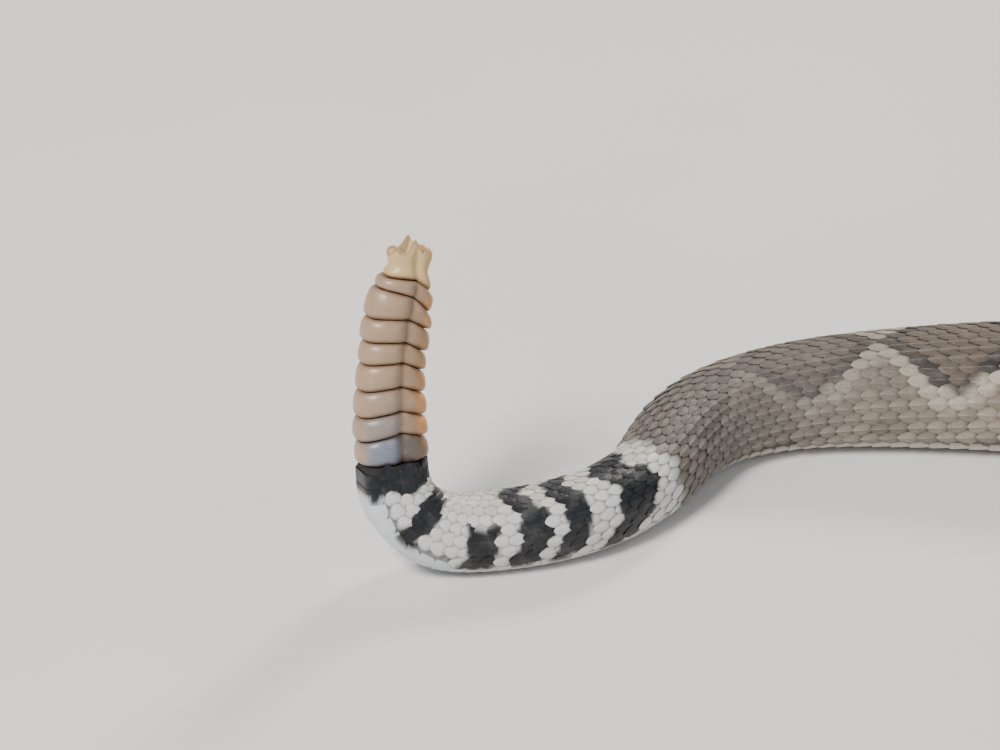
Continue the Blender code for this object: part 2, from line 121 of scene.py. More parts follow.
def curve_through(stations, column, at):
    """A smooth curve through a table's column that never overshoots its rows."""
    table = np.array(stations)
    xs, ys = table[:, 0], table[:, column]
    slopes = np.diff(ys) / np.diff(xs)
    product, total = slopes[1:] * slopes[:-1], slopes[1:] + slopes[:-1]
    inner = np.where(product > 0.0, 2.0 * product / np.where(total == 0.0, 1.0, total), 0.0)
    tangents = np.concatenate([slopes[:1], inner, slopes[-1:]])
    i = np.clip(np.searchsorted(xs, at) - 1, 0, len(xs) - 2)
    span = xs[i + 1] - xs[i]
    t = np.clip((at - xs[i]) / span, 0.0, 1.0)
    return (
        (2 * t**3 - 3 * t**2 + 1) * ys[i]
        + (t**3 - 2 * t**2 + t) * span * tangents[i]
        + (3 * t**2 - 2 * t**3) * ys[i + 1]
        + (t**3 - t**2) * span * tangents[i + 1]
    )


# %% Lay the line and carry a frame along it
def lay_body():
    """Place, forward, left and back directions at each millimetre of the body."""
    at = np.arange(round(TOTAL_LENGTH / STEP) + 1) * STEP
    bend = np.zeros(len(at))
    start = 0.0
    for length, turn in TURNS:
        bend[round(start / STEP) : round((start + length) / STEP)] += math.radians(turn) / length
        start += length
    reach = round(BEND_EASE / STEP)
    window = np.ones(2 * reach + 1) / (2 * reach + 1)
    for _ in range(2):
        bend = np.convolve(np.pad(bend, reach, mode="edge"), window, mode="valid")
    turned = np.concatenate([[0.0], np.cumsum((bend[1:] + bend[:-1]) / 2) * STEP])
    heading = (math.radians(TAIL_HEADING) + turned)[:, None]
    climb = math.radians(NECK_PITCH) * eased((at - NECK_RISE[0]) / RISE_EASE)
    climb *= 1.0 - eased((at - NECK_RISE[1] + 0.8 * RISE_EASE) / RISE_EASE)
    dip = math.radians(HEAD_DIP) * eased((at - NECK_RISE[1]) / (0.7 * RISE_EASE))
    curl = math.radians(TAIL_CURL) * eased((TAIL_LIFT - at) / TAIL_LIFT) ** TAIL_CURL_EASE
    pitch = (climb - dip - curl)[:, None]
    lean = (math.radians(TAIL_LEAN) * eased((TAIL_LIFT - at) / (0.8 * TAIL_LIFT)))[:, None]
    twist = (math.radians(TAIL_TWIST) * eased((TWIST_START - at) / TWIST_START))[:, None]
    flat = np.zeros_like(heading)
    level = np.hstack([np.cos(heading), np.sin(heading), flat])
    left = np.hstack([-np.sin(heading), np.cos(heading), flat])
    up = np.cos(lean) * np.array([0.0, 0.0, 1.0]) + np.sin(lean) * left
    forward = np.cos(pitch) * level + np.sin(pitch) * up
    back = np.cos(pitch) * up - np.sin(pitch) * level
    back = np.cos(twist) * back - np.sin(twist) * np.cross(forward, back)
    place = np.zeros((len(at), 3))
    depth = curve_through(GIRTH, 3, at) * MM
    lift = round(TAIL_LIFT / STEP)
    place[lift] = (-PLAN_CENTRE[0], -PLAN_CENTRE[1], depth[lift])
    for i in range(lift + 1, len(at)):
        place[i] = place[i - 1] + (forward[i] + forward[i - 1]) * STEP / 2
        if at[i] < NECK_RISE[0]:
            place[i, 2] = depth[i]
    for i in range(lift - 1, -1, -1):
        place[i] = place[i + 1] - (forward[i] + forward[i + 1]) * STEP / 2
    return place, forward, np.cross(back, forward), back


LINE = lay_body()


def line_at(at):
    """Place, forward, left and back directions anywhere along the body."""
    x = np.clip(np.asarray(at) / STEP, 0.0, len(LINE[0]) - 1.000001)
    i = x.astype(int)
    t = (x - i)[:, None]
    place, forward, left, back = (a[i] * (1 - t) + a[i + 1] * t for a in LINE)
    forward, left, back = (v / np.linalg.norm(v, axis=1)[:, None] for v in (forward, left, back))
    return place, forward, left, back


print("snout at", LINE[0][-1].round(4), "rattle base at", LINE[0][0].round(4))

# %% [markdown]
# ## One surface from the rattle to the snout
# The head is a table of cross-sections too: the crown, the edge of the crown, the cheek,
# the lip and the throat. Body and head sections are cut into the same number of equal
# steps round, so one grid covers the whole animal. Everything that sits on the snake asks
# this grid for a point, the way out of the skin, and the way towards the tail.

# %% The head's sections, in millimetres from the neck
HEAD_LENGTH = 50.0
HEAD_FORM = (
    (-0.15, 10.6, 7.4, 7.7, 11.2, 0.6, 8.9, -6.0, 9.4),
    (5.0, 10.9, 8.4, 8.3, 13.2, -0.2, 11.4, -5.6, 9.8),
    (10.5, 11.3, 10.6, 8.9, 18.0, -1.4, 16.2, -5.6, 10.0),
    (16.0, 11.4, 11.4, 9.2, 19.2, -1.6, 17.2, -5.6, 9.8),
    (23.0, 11.0, 11.2, 9.3, 17.2, -1.2, 15.6, -5.2, 9.2),
    (30.0, 10.5, 10.8, 9.2, 13.6, -0.2, 13.2, -4.6, 8.4),
    (37.0, 9.7, 9.4, 8.8, 11.3, 0.8, 11.5, -3.8, 7.5),
    (43.0, 8.8, 7.6, 8.0, 9.7, 1.2, 10.0, -3.2, 6.5),
    (47.0, 8.0, 6.0, 7.1, 7.9, 1.4, 8.2, -2.8, 5.6),
    (49.2, 6.8, 4.4, 5.9, 5.7, 1.4, 5.9, -2.4, 4.6),
    (50.0, 5.2, 2.6, 4.4, 3.4, 1.2, 3.4, -1.8, 3.2),
)
THROAT_CORNER = 0.62
MOUTH_CORNER = 9.0
MOUTH_LINE = (
    (9.0, -2.7),
    (14.0, -4.1),
    (21.0, -4.6),
    (29.0, -4.1),
    (37.0, -3.2),
    (45.0, -2.5),
    (52.0, -2.2),
)
LIP_RIDGE = 0.45
LIP_REACH = 1.5
EYE_RADIUS = 2.8
EYE_PLACE = (34.5, 9.7, 4.7)
BROW_SIZE = (5.5, 3.3, 1.25)
BROW_PLACE = (33.9, 9.15, 8.25)
BROW_TILT = 12.0
PIT_RADIUS = 1.5
PIT_PLACE = (40.4, 10.2, 1.7)
NOSTRIL_RADIUS = 1.2
NOSTRIL_PLACE = (46.3, 7.6, 3.3)

AROUND = 97  # points on half a section
SKIN_DEPTH = 0.55 * MM  # how far the skin lies under the tips of the plates
HEAD_SKIN_DEPTH = 0.30 * MM


def even_steps(points):
    """A line of points cut again into AROUND points at even distances."""
    run = np.concatenate([[0.0], np.cumsum(np.linalg.norm(np.diff(points, axis=0), axis=1))])
    even = np.linspace(0.0, run[-1], AROUND)
    return np.stack([np.interp(even, run, points[:, k]) for k in (0, 1)], axis=1), run


def body_half(at):
    """The right half of a body section: across and height, back to belly."""
    a = np.radians(np.linspace(0.0, 180.0, 121))
    width, height, depth = (curve_through(GIRTH, c, np.array([at])) * MM for c in (1, 2, 3))
    across = np.sin(a) ** 0.92 * width
    rise = np.where(
        np.cos(a) >= 0.0,
        np.cos(a) * height,
        -np.minimum(1.10 * np.abs(np.cos(a)) ** 0.75, 1.0) * depth,
    )
    return np.stack([across, rise], axis=1), np.degrees(a)


def head_half(along):
    """The right half of a head section, with the lips standing a little proud."""
    crown, edge, edge_z, cheek, cheek_z, lip, lip_z, throat = (
        float(curve_through(HEAD_FORM, c, np.array([along]))[0]) for c in range(1, 9)
    )
    flat = THROAT_CORNER * lip
    marks = [(0.0, crown), (edge, edge_z), (cheek, cheek_z), (lip, lip_z)]
    marks += [(flat, -throat), (0.0, -throat)]
    guides = np.array([(-edge, edge_z), *marks, (-flat, -throat)])
    t = np.linspace(0.0, 1.0, 20, endpoint=False)[:, None]
    spans = []
    for before, here, after, beyond in zip(guides, guides[1:], guides[2:], guides[3:]):
        spans.append(
            (2 * t**3 - 3 * t**2 + 1) * here
            + (t**3 - 2 * t**2 + t) * (after - before) / 2
            + (3 * t**2 - 2 * t**3) * after
            + (t**3 - t**2) * (beyond - here) / 2
        )
    half = np.vstack([*spans, [marks[-1]]])
    mouth = curve_through(MOUTH_LINE, 1, np.array([along]))
    near = 1.0 - np.abs(half[:, 1] - mouth) / (2 * LIP_REACH)
    ridge = LIP_RIDGE * eased(near) * eased((along - MOUTH_CORNER) / 6.0)
    half[:, 0] += ridge * eased(half[:, 0] / 4.0)
    return half * MM


# %% Build the grid of the whole surface
BODY_STATIONS = np.arange(0.0, HEAD_START, STEP)
HEAD_EASE = 1.25
HEAD_STATIONS = HEAD_START + (1.0 - np.linspace(1.0, 0.0, 110) ** HEAD_EASE) * HEAD_LENGTH * MM
STATIONS = np.concatenate([BODY_STATIONS, HEAD_STATIONS])
NECK_BLEND = 0.010


def edge_height(along):
    """Where the belly plates or the mouth begin on the side of the head, in metres."""
    nape = -1.10 * abs(math.cos(math.radians(SEAM_ANGLE))) ** 0.75 * HEAD_FORM[0][8]
    mouth = float(curve_through(MOUTH_LINE, 1, np.array([max(along, MOUTH_CORNER)]))[0])
    return (nape + (mouth - nape) * float(eased(along / MOUTH_CORNER))) * MM


def build_grid():
    """Section points, the share of the way round of the belly's edge, and half perimeters."""
    first_head, _ = even_steps(head_half(0.0))
    sections, edges, rounds = [], [], []
    for at in STATIONS:
        if at < HEAD_START:
            half, angles = body_half(at)
            points, run = even_steps(half)
            mix = eased((at - HEAD_START + NECK_BLEND) / NECK_BLEND)
            points = points * (1 - mix) + first_head * mix
            edge = np.interp(SEAM_ANGLE, angles, run) / run[-1]
        else:
            along = (at - HEAD_START) / MM
            points, run = even_steps(head_half(along))
            below = points[:, 1] < edge_height(along)
            edge = np.argmax(below) / (AROUND - 1)
        sections.append(points)
        edges.append(edge)
        rounds.append(run[-1])
    return np.array(sections), np.array(edges), np.array(rounds)


SECTIONS, EDGE, HALF_ROUND = build_grid()
EDGE_REACH = 4  # stations on either side over which the belly's edge is evened out
EVEN = np.ones(2 * EDGE_REACH + 1) / (2 * EDGE_REACH + 1)
EDGE = np.convolve(np.pad(EDGE, EDGE_REACH, mode="edge"), EVEN, mode="valid")

place, forward, left, back = line_at(np.minimum(STATIONS, TOTAL_LENGTH))
head_part = STATIONS >= HEAD_START
nape = [v[0] for v in line_at(np.array([HEAD_START]))]
place[head_part] = nape[0] + (STATIONS[head_part, None] - HEAD_START) * nape[1]
for axis, fixed in zip((forward, left, back), nape[1:]):
    axis[head_part] = fixed


def grid_points(sections):
    """World points of the whole round, from the belly over the left, back and right sides."""
    across = np.concatenate([-sections[:, :0:-1, 0], sections[:, :, 0]], axis=1)[..., None]
    rise = np.concatenate([sections[:, :0:-1, 1], sections[:, :, 1]], axis=1)[..., None]
    return place[:, None] - across * left[:, None] + rise * back[:, None]


OUTER = grid_points(SECTIONS)
tailward = -np.gradient(OUTER, STATIONS, axis=0)
STRETCH = np.linalg.norm(tailward, axis=2)
LIE = tailward / np.maximum(STRETCH, 1e-9)[..., None]
NORMAL = np.cross(LIE, np.gradient(OUTER, axis=1))
NORMAL /= np.maximum(np.linalg.norm(NORMAL, axis=2), 1e-12)[..., None]
NORMAL[:, [0, -1]] = (NORMAL[:, 0] + NORMAL[:, -1])[:, None] / 2
print("grid", OUTER.shape, "outward?", (NORMAL[600, 96] @ back[600]).round(3))


# %% Ask the grid for a place
def sample(grid, at, share):
    """A grid's value at distances along, and shares of the way from back to belly.

    The share runs from 0 at the middle of the back to 1 under the belly on the right, and
    to -1 on the left.
    """
    x = np.interp(at, STATIONS, np.arange(len(STATIONS)))
    i = np.clip(x.astype(int), 0, len(STATIONS) - 2)
    y = (np.asarray(share) + 1.0) * (AROUND - 1)
    j = np.clip(y.astype(int), 0, 2 * AROUND - 3)
    u, v = x - i, y - j
    if grid.ndim == 3:
        u, v = u[:, None], v[:, None]
    near = grid[i, j] * (1 - v) + grid[i, j + 1] * v
    far = grid[i + 1, j] * (1 - v) + grid[i + 1, j + 1] * v
    return near * (1 - u) + far * u


def along_stations(values, at):
    return np.interp(at, STATIONS, values)


def head_spot(spot, side):
    """A point in the head's own millimetres, in the world; side is 1 left, -1 right."""
    x, y, z = spot
    return nape[0] + (x * nape[1] + side * y * nape[2] + z * nape[3]) * MM


def share_at_height(at, height):
    """Share of the way round at which a head section falls to a height, in metres."""
    i = int(np.clip(np.searchsorted(STATIONS, at), 0, len(STATIONS) - 1))
    return np.argmax(SECTIONS[i][:, 1] < height) / (AROUND - 1)


# %% [markdown]
# ## Markings
# The markings are one function of where a scale lies, and skin and scales both call it, so
# they always agree. A painted picture would be quicker, but a rule can be read and changed.
# The tail has black rings on ash white; the body has dark diamonds with pale rims.

# %% Colours, as linear light
ASH = np.array([0.62, 0.60, 0.57])
# Painted cool shade: a bluish copy of the ash white
ASH_IN_PAINTED_SHADE = np.array([0.60, 0.63, 0.67])
RING_BLACK = np.array([0.0055, 0.0070, 0.0100])
RING_GREY = np.array([0.030, 0.031, 0.034])
GROUND = np.array([0.205, 0.165, 0.126])
FLANK = np.array([0.300, 0.255, 0.200])
DIAMOND = np.array([0.096, 0.069, 0.049])
DIAMOND_RIM = np.array([0.022, 0.018, 0.015])
PALE_RIM = np.array([0.45, 0.40, 0.32])
BELLY = np.array([0.60, 0.55, 0.46])
# Dark brown of the crown's real mottle, and of painted shade on the body near the tail
MOTTLE_AND_PAINTED_SHADE = np.array([0.098, 0.086, 0.077])

# Near and far edges of each tail ring in millimetres: on the back, the flank, the belly's
# edge; then the share of the way round where the ring begins to show
RINGS = (
    (-2.0, 2.0, -2.0, 6.6, -2.0, 6.4, -1.0),
    (9.5, 18.5, 11.6, 18.8, 14.0, 17.0, -1.0),
    (27.0, 33.0, 28.0, 34.8, 27.6, 32.8, 0.36),
    (37.0, 41.5, 40.2, 46.6, 37.6, 42.4, -1.0),
    (46.8, 52.6, 50.6, 56.4, 46.6, 50.0, -1.0),
    (60.0, 68.5, 63.2, 73.6, 57.5, 63.0, -1.0),
)
BELLY_RINGS = 1  # rings that also cross the belly
DIAMOND_PITCH = 0.0365
DIAMOND_REACH = 0.60
FIRST_DIAMOND = 0.096
LAST_DIAMOND = 1.180


def through_three(a, b, c, t):
    """The parabola through a, b and c at t = 0, 0.5 and 1."""
    return a * (1 - t) * (1 - 2 * t) + 4 * b * t * (1 - t) + c * t * (2 * t - 1)


def mix(a, b, amount):
    amount = np.clip(np.asarray(amount), 0.0, 1.0)[..., None]
    return a * (1 - amount) + b * amount


def wobble(at, share, seed):
    """Slow unevenness between -1 and 1, for edges that aren't ruled."""
    a, b = at * 1000.0, share * 9.0
    return (
        np.sin(0.61 * a + 1.7 * b + seed)
        + np.sin(0.97 * a - 2.3 * b + 2.1 * seed)
        + np.sin(0.33 * a + 3.9 * b + 0.7 * seed)
    ) / 3.0


def markings(at, share, jitter):
    """Colour at a place: share is -1 to 1, jitter a random number for each scale."""
    edge = along_stations(EDGE, at)
    down = np.abs(share) / edge
    side = np.clip(down, 0.0, 1.0)
    mm = at / MM + 0.9 * wobble(at, share, 1.0) + 0.65 * jitter
    # Tail
    dorsal = eased((0.42 - down) / 0.30)
    ash = mix(ASH, ASH * np.array([0.76, 0.72, 0.66]), dorsal * (0.75 + 0.5 * jitter))
    # Painted cool shade: the ash white turns bluish towards the belly near the rattle
    ash = mix(ash, ASH_IN_PAINTED_SHADE, eased((down - 0.7) / 0.4) * eased((40.0 - mm) / 20.0))
    ring = np.zeros(len(at))
    for number, (near0, far0, near5, far5, near1, far1, begins) in enumerate(RINGS):
        near, far = through_three(near0, near5, near1, side), through_three(far0, far5, far1, side)
        inside = np.minimum(mm - near, far - mm)
        shown = eased((down + 0.07 * jitter + 0.05 * wobble(at, share, 5.0) - begins) / 0.10)
        if number >= BELLY_RINGS:
            shown = shown * (1.0 - eased((down - 1.02) / 0.10))
        ring = np.maximum(ring, eased(0.5 + inside / 0.5) * shown)
    speck = eased((jitter - 0.30) / 0.3) * eased((0.62 - down) / 0.4) * eased((mm - 22.0) / 12.0)
    ink = mix(RING_BLACK, RING_GREY, speck)
    tail = mix(ash, ink, ring)
    # Body
    body = mix(GROUND, FLANK, eased((down - 0.45) / 0.45))
    body = body * (1.0 + 0.20 * jitter)[:, None]
    turn = (at - FIRST_DIAMOND) / DIAMOND_PITCH
    local = (turn - np.round(turn)) * 2.0
    reach = DIAMOND_REACH * (1.0 + 0.06 * np.sin(5.0 * np.round(turn)))
    size = np.abs(local) ** 1.15 + (down / reach) ** 1.25 + 0.06 * jitter
    inside = eased((0.98 - size) / 0.10)
    rim = inside * eased((size - 0.60) / 0.14)
    pale = eased((1.34 - size) / 0.12) * (1.0 - inside) * eased((0.92 - down) / 0.3)
    pale *= 0.55 + 0.45 * eased(down / 0.2)
    lower = eased(1.0 - np.abs(down - 0.80) / 0.16) * eased((np.abs(local) - 0.62) / 0.26)
    clear = eased((at - FIRST_DIAMOND + 0.010) / 0.10)
    body = mix(body, PALE_RIM, 0.85 * pale * (0.35 + 0.65 * clear))
    body = mix(body, DIAMOND, inside * (0.5 + 0.5 * clear))
    body = mix(body, DIAMOND_RIM, rim * (0.45 + 0.55 * clear))
    body = mix(body, DIAMOND, 0.65 * lower * clear)
    # Painted shade: the body near the tail is darkened, less so under the belly
    body = mix(body, MOTTLE_AND_PAINTED_SHADE, 0.75 * (1.0 - eased((at - 0.10) / 0.09)) * (1.0 - eased(down - 0.9)))
    # Head
    mottle = wobble(1.9 * at, 1.6 * share, 2.0) + 0.5 * jitter
    crown = mix(GROUND * (1.05 + 0.18 * jitter)[:, None], MOTTLE_AND_PAINTED_SHADE, 0.55 * eased((mottle - 0.25) / 0.5))
    body = mix(body, crown, eased((at - LAST_DIAMOND) / 0.012))
    belly = mix(BELLY, ASH, eased((0.11 - at) / 0.05))
    body = mix(body, belly, eased((down - 0.98) / 0.10) * (at < HEAD_START))
    return mix(tail, body, eased((mm - 77.5) / 3.0))


# Two bands on each cheek, from near the eye back to the jaw, in the head's millimetres:
# start, end, half width
CHEEK_BAND = ((35.5, 3.4), (14.0, -4.4), 2.7)
CHEEK_PALE = 1.5


def head_markings(points, colours, down, jitter):
    """Adds the dark cheek bands between pale lines, the lips and the throat."""
    local = (points - nape[0]) / MM
    x, z = local @ nape[1], local @ nape[3]
    (x0, z0), (x1, z1), half = CHEEK_BAND
    length = math.hypot(x1 - x0, z1 - z0)
    run = ((x - x0) * (x1 - x0) + (z - z0) * (z1 - z0)) / length
    off = np.abs((x - x0) * (z1 - z0) - (z - z0) * (x1 - x0)) / length
    widen = half * (0.70 + 0.45 * np.clip(run / length, 0.0, 1.0))
    on_side = eased((down - 0.30) / 0.12) * (down < 1.02)
    within = eased((run + 3.5) / 2.0) * eased((length + 2.5 - run) / 3.0) * on_side
    band = eased((widen - off + 0.2 * jitter) / 0.6) * within
    pale = eased((widen + CHEEK_PALE + 0.5 - off) / 0.5) * (1 - band) * within
    lips = eased((x - 6.0) / 5.0) * eased(1.0 - np.abs(down - 1.0) / 0.14)
    throat = 0.85 * eased((down - 1.0) / 0.06)
    out = mix(colours, FLANK * 1.15, 0.7 * lips)
    out = mix(out, PALE_RIM * 1.1, pale)
    out = mix(out, DIAMOND * 0.60, band)
    return mix(out, BELLY * (1.0 + 0.08 * jitter)[:, None], throat)


def tint(at, share, jitter):
    """The whole animal's colour, as four numbers for each place."""
    at, share = np.asarray(at, float), np.asarray(share, float)
    colours = markings(at, share, jitter)
    on_head = at >= HEAD_START
    if on_head.any():
        points = sample(OUTER, at[on_head], share[on_head])
        down = np.abs(share[on_head]) / along_stations(EDGE, at[on_head])
        colours[on_head] = head_markings(points, colours[on_head], down, jitter[on_head])
    return np.hstack([np.clip(colours, 0.004, 0.9), np.ones((len(at), 1))])


# %% [markdown]
# ## Wires for node trees
# Node trees read badly as lists of links. A small class wraps an output socket and
# overloads the arithmetic, so that shader maths is written as it is on paper. The same
# class serves material trees and Geometry Nodes trees.


# %% Wires and boards
class Wire:
    """An output socket. Arithmetic on it adds Math nodes to its tree."""

    def __init__(self, board, socket):
        self.board = board
        self.socket = socket

    def math(self, operation, *values):
        return self.board.add("ShaderNodeMath", {"operation": operation}, *values)

    def __add__(self, other):
        return self.math("ADD", self, other)

    def __sub__(self, other):
        return self.math("SUBTRACT", self, other)

    def __rsub__(self, other):
        return self.math("SUBTRACT", other, self)

    def __mul__(self, other):
        return self.math("MULTIPLY", self, other)

    def __truediv__(self, other):
        return self.math("DIVIDE", self, other)

    def __rtruediv__(self, other):
        return self.math("DIVIDE", other, self)

    def __pow__(self, other):
        return self.math("POWER", self, other)

    def __neg__(self):
        return self.math("MULTIPLY", self, -1.0)

    def __abs__(self):
        return self.math("ABSOLUTE", self)

    __radd__ = __add__
    __rmul__ = __mul__

    def between(self, low, high):
        """0 below low, 1 above high, smooth between."""
        settings = {"interpolation_type": "SMOOTHSTEP"}
        return self.board.add("ShaderNodeMapRange", settings, self, low, high)


class Board:
    """A node tree that is filled by one method."""

    def __init__(self, tree):
        self.tree = tree
        tree.nodes.clear()

    def feed(self, socket, value):
        if isinstance(value, Wire):
            self.tree.links.new(value.socket, socket)
        else:
            socket.default_value = value

    def add(self, kind, settings=None, *inputs, out=0, **named):
        """Adds a node: its settings, its inputs in order or by name, and an output."""
        node = self.tree.nodes.new(kind)
        for key, value in (settings or {}).items():
            if key == "stops":
                self.set_stops(node.color_ramp, value)
            else:
                setattr(node, key, value)
        for slot, value in enumerate(inputs):
            if value is not None:
                self.feed(node.inputs[slot], value)
        for key, value in named.items():
            wanted = key.replace("_", " ")
            socket = next(s for s in node.inputs if s.name == wanted and s.enabled)
            self.feed(socket, value)
        return Wire(self, node.outputs[out]) if node.outputs else node

    def set_stops(self, ramp, stops):
        while len(ramp.elements) > 1:
            ramp.elements.remove(ramp.elements[-1])
        for i, (at, colour) in enumerate(stops):
            element = ramp.elements[0] if i == 0 else ramp.elements.new(at)
            element.position = at
            element.color = (*colour, 1.0)

    def blend(self, amount, first, second, how="MIX"):
        """A colour between two others."""
        node = self.tree.nodes.new("ShaderNodeMix")
        node.data_type = "RGBA"
        node.blend_type = how
        for slot, value in zip((0, 6, 7), (amount, first, second)):
            if slot and not isinstance(value, Wire):
                value = (*value, 1.0)
            self.feed(node.inputs[slot], value)
        return Wire(self, node.outputs[2])

    def read(self, name, out="Color"):
        """A named attribute of the surface."""
        node = self.tree.nodes.new("ShaderNodeAttribute")
        node.attribute_name = name
        return Wire(self, node.outputs[out])

    def axes(self, vector):
        """The three numbers of a vector."""
        node = self.tree.nodes.new("ShaderNodeSeparateXYZ")
        self.feed(node.inputs[0], vector)
        return [Wire(self, socket) for socket in node.outputs]

    def noise(self, scale, detail=3.0, roughness=0.5, place=None):
        """Noise between 0 and 1 over the object's own coordinates."""
        place = place or self.add("ShaderNodeTexCoord", out=3)
        return self.add(
            "ShaderNodeTexNoise",
            None,
            Vector=place,
            Scale=scale,
            Detail=detail,
            Roughness=roughness,
        )

    def bump(self, height, distance, strength=1.0):
        return self.add(
            "ShaderNodeBump", None, Height=height, Distance=distance, Strength=strength
        )


def finish(name, **constants):
    """A new material: its board, and a function that closes it onto its surface."""
    material = bpy.data.materials.new(name)
    material.use_nodes = True
    board = Board(material.node_tree)

    def close(**fed):
        shader = board.add("ShaderNodeBsdfPrincipled", None, **constants, **fed)
        board.add("ShaderNodeOutputMaterial", None, shader)
        return material

    return board, close


# %% [markdown]
# ## Horn and skin
# A rattlesnake's scale is dry horn: rough along the keel, a little smoother at its edge,
# peppered with fine dark dots. Each plate carries its own small map, "leaf", across and
# along, so that the painted highlight along the keel and the painted shade at the root and
# edges fall on every plate alike.


# %% The finish of the plates and of the skin between them
def plate_finish(name, roughness, ridge, specks, edge):
    """Horn with a painted highlight along the keel of strength `ridge`, dark dots, painted shade at
    each plate's root, and painted shade at its edges of strength `edge`.
    """
    board, close = finish(name, Coat_Roughness=0.45, Specular_IOR_Level=0.40)
    colour = board.read("tint")
    across, along, _ = board.axes(board.read("leaf", "Vector"))
    dust = board.noise(240.0, 4.0, 0.6)
    dots = board.noise(2300.0, 3.0, 0.65).between(0.56, 0.68)
    grain = board.noise(5200.0, 2.0, 0.6)
    rim = abs(across).between(0.55, 1.0)
    root = 1.0 - along.between(0.12, 0.46)
    keel = (1.0 - abs(across).between(0.0, 0.22)) * along.between(0.3, 0.6)
    # Painted shade: the root of each plate, where the plate before covers it, and its edges are
    # darkened
    dark = board.blend(0.75, colour, (0.02, 0.018, 0.016))
    colour = board.blend(root * 0.75 + rim * edge, colour, dark)
    colour = board.blend(dots * specks, colour, (0.03, 0.026, 0.022))
    # Painted highlight: the keel is lightened by `ridge`; the noise adds real lighter dust
    lighter = board.blend(0.30, colour, (0.60, 0.56, 0.50))
    colour = board.blend(keel * ridge + dust.between(0.45, 0.75) * 0.22, colour, lighter)
    height = grain * 0.5 + board.noise(900.0, 3.0).between(0.3, 0.7) * 0.5
    return close(
        Base_Color=colour,
        Roughness=roughness + grain * 0.14 - keel * 0.05,
        Normal=board.bump(height, 0.00012, 0.5),
    )


def skin_finish():
    """The skin between the plates: the same colours, darker for its own darker tone and for painted
    shade between the plates, with painted shade in its soft creases.
    """
    board, close = finish("skin_between_plates", Specular_IOR_Level=0.3)
    # Darker than the plates: partly the skin's own darker tone, partly painted shade between the plates
    colour = board.blend(0.52, board.read("tint"), (0.030, 0.027, 0.025))
    creases = board.add(
        "ShaderNodeTexVoronoi",
        {"feature": "DISTANCE_TO_EDGE"},
        board.add("ShaderNodeTexCoord", out=3),
        Scale=2600.0,
    )
    height = creases.between(0.0, 0.25)
    # Painted shade in the creases
    colour = board.blend((1.0 - height) * 0.35, colour, (0.02, 0.018, 0.016))
    return close(
        Base_Color=colour,
        Roughness=0.62 + board.noise(1800.0) * 0.2,
        Normal=board.bump(height, 0.00010, 0.5),
    )


KEELED = plate_finish("keeled_horn_plates", 0.46, 0.40, 0.55, 0.35)
TAIL_HORN = plate_finish("ringed_tail_plates", 0.34, 0.06, 0.10, 0.55)
BELLY_HORN = plate_finish("smooth_belly_plates", 0.32, 0.0, 0.10, 0.10)
HEAD_HORN = plate_finish("small_head_plates", 0.46, 0.12, 0.50, 0.35)
SKIN = skin_finish()
print("finishes", [m.name for m in bpy.data.materials if m.users or m.node_tree])

# %% [markdown]
# ## The skin
# One closed skin runs from the rattle to the snout and replaces every solid of flesh. It
# lies half a millimetre inside them, so that the plates can fill the difference. The pits,
# the nostrils and the sockets are pressed into it where the head's sizes put them.

# %% Make the skin
SKIN_SPACING = ((0.0, 1.2), (0.05, 1.5), (0.12, 3.0), (1.04, 3.0), (1.10, 1.8), (1.20, 1.2))


def link(name, mesh):
    made = bpy.data.objects.new(name, mesh)
    bpy.context.scene.collection.objects.link(made)
    return made


def mesh_of(name, points, faces, materials, smooth=True):
    mesh = bpy.data.meshes.new(name)
    mesh.from_pydata(points.tolist(), [], faces)
    for material in materials:
        mesh.materials.append(material)
    if smooth:
        mesh.shade_smooth()
    mesh.update()
    return mesh


def paint(mesh, colours):
    """Stores a colour for each point under the name that the finishes read."""
    layer = mesh.attributes.new("tint", "FLOAT_COLOR", "POINT")
    layer.data.foreach_set("color", np.ascontiguousarray(colours, dtype=np.float32).ravel())


def skin_rows():
    """Indices of the stations that the skin uses, close where the surface bends most."""
    table = np.array(SKIN_SPACING)
    rows, at = [0], 0.0
    while at < HEAD_START - 0.0012:
        at += float(np.interp(at, table[:, 0], table[:, 1])) * MM
        rows.append(int(np.argmin(np.abs(STATIONS[: len(BODY_STATIONS)] - at))))
    return sorted(set(rows)) + list(range(len(BODY_STATIONS), len(STATIONS)))


def pressed(points, normals, at):
    """Presses the pits, nostrils and sockets in, and the line of the mouth, and gives how much painted
    shade to put in these hollows.
    """
    points, dark = points.copy(), np.zeros(len(points))
    for side in (1, -1):
        for spot, radius, depth in (
            (PIT_PLACE, PIT_RADIUS, 2.2),
            (NOSTRIL_PLACE, NOSTRIL_RADIUS, 1.7),
        ):
            away = np.linalg.norm(points - head_spot(spot, side), axis=1) / MM
            dent = eased((1.35 * radius - away) / (0.75 * radius))
            points -= normals * (dent * depth * MM)[:, None]
            dark = np.maximum(dark, dent)
        away = np.linalg.norm(points - head_spot(EYE_PLACE, side), axis=1) / MM
        behind = eased((3.1 - away) / 0.3)
        points -= normals * (behind * 1.4 * MM)[:, None]
        dark = np.maximum(dark, 0.7 * eased((3.5 - away) / 0.4))
    along = (at - HEAD_START) / MM
    height = (points - nape[0]) @ nape[3] / MM
    mouth = curve_through(MOUTH_LINE, 1, np.maximum(along, MOUTH_CORNER))
    line = eased((0.75 - np.abs(height - mouth)) / 0.5) * eased((along - MOUTH_CORNER) / 2.0)
    points -= normals * (line * 0.6 * MM)[:, None]
    return points, np.maximum(dark, 0.85 * line)


def skin_depth(at):
    """How far the skin lies under the outer surface: less on the head than on the body."""
    return np.interp(at, (HEAD_START - 0.02, HEAD_START + 0.02), (SKIN_DEPTH, HEAD_SKIN_DEPTH))


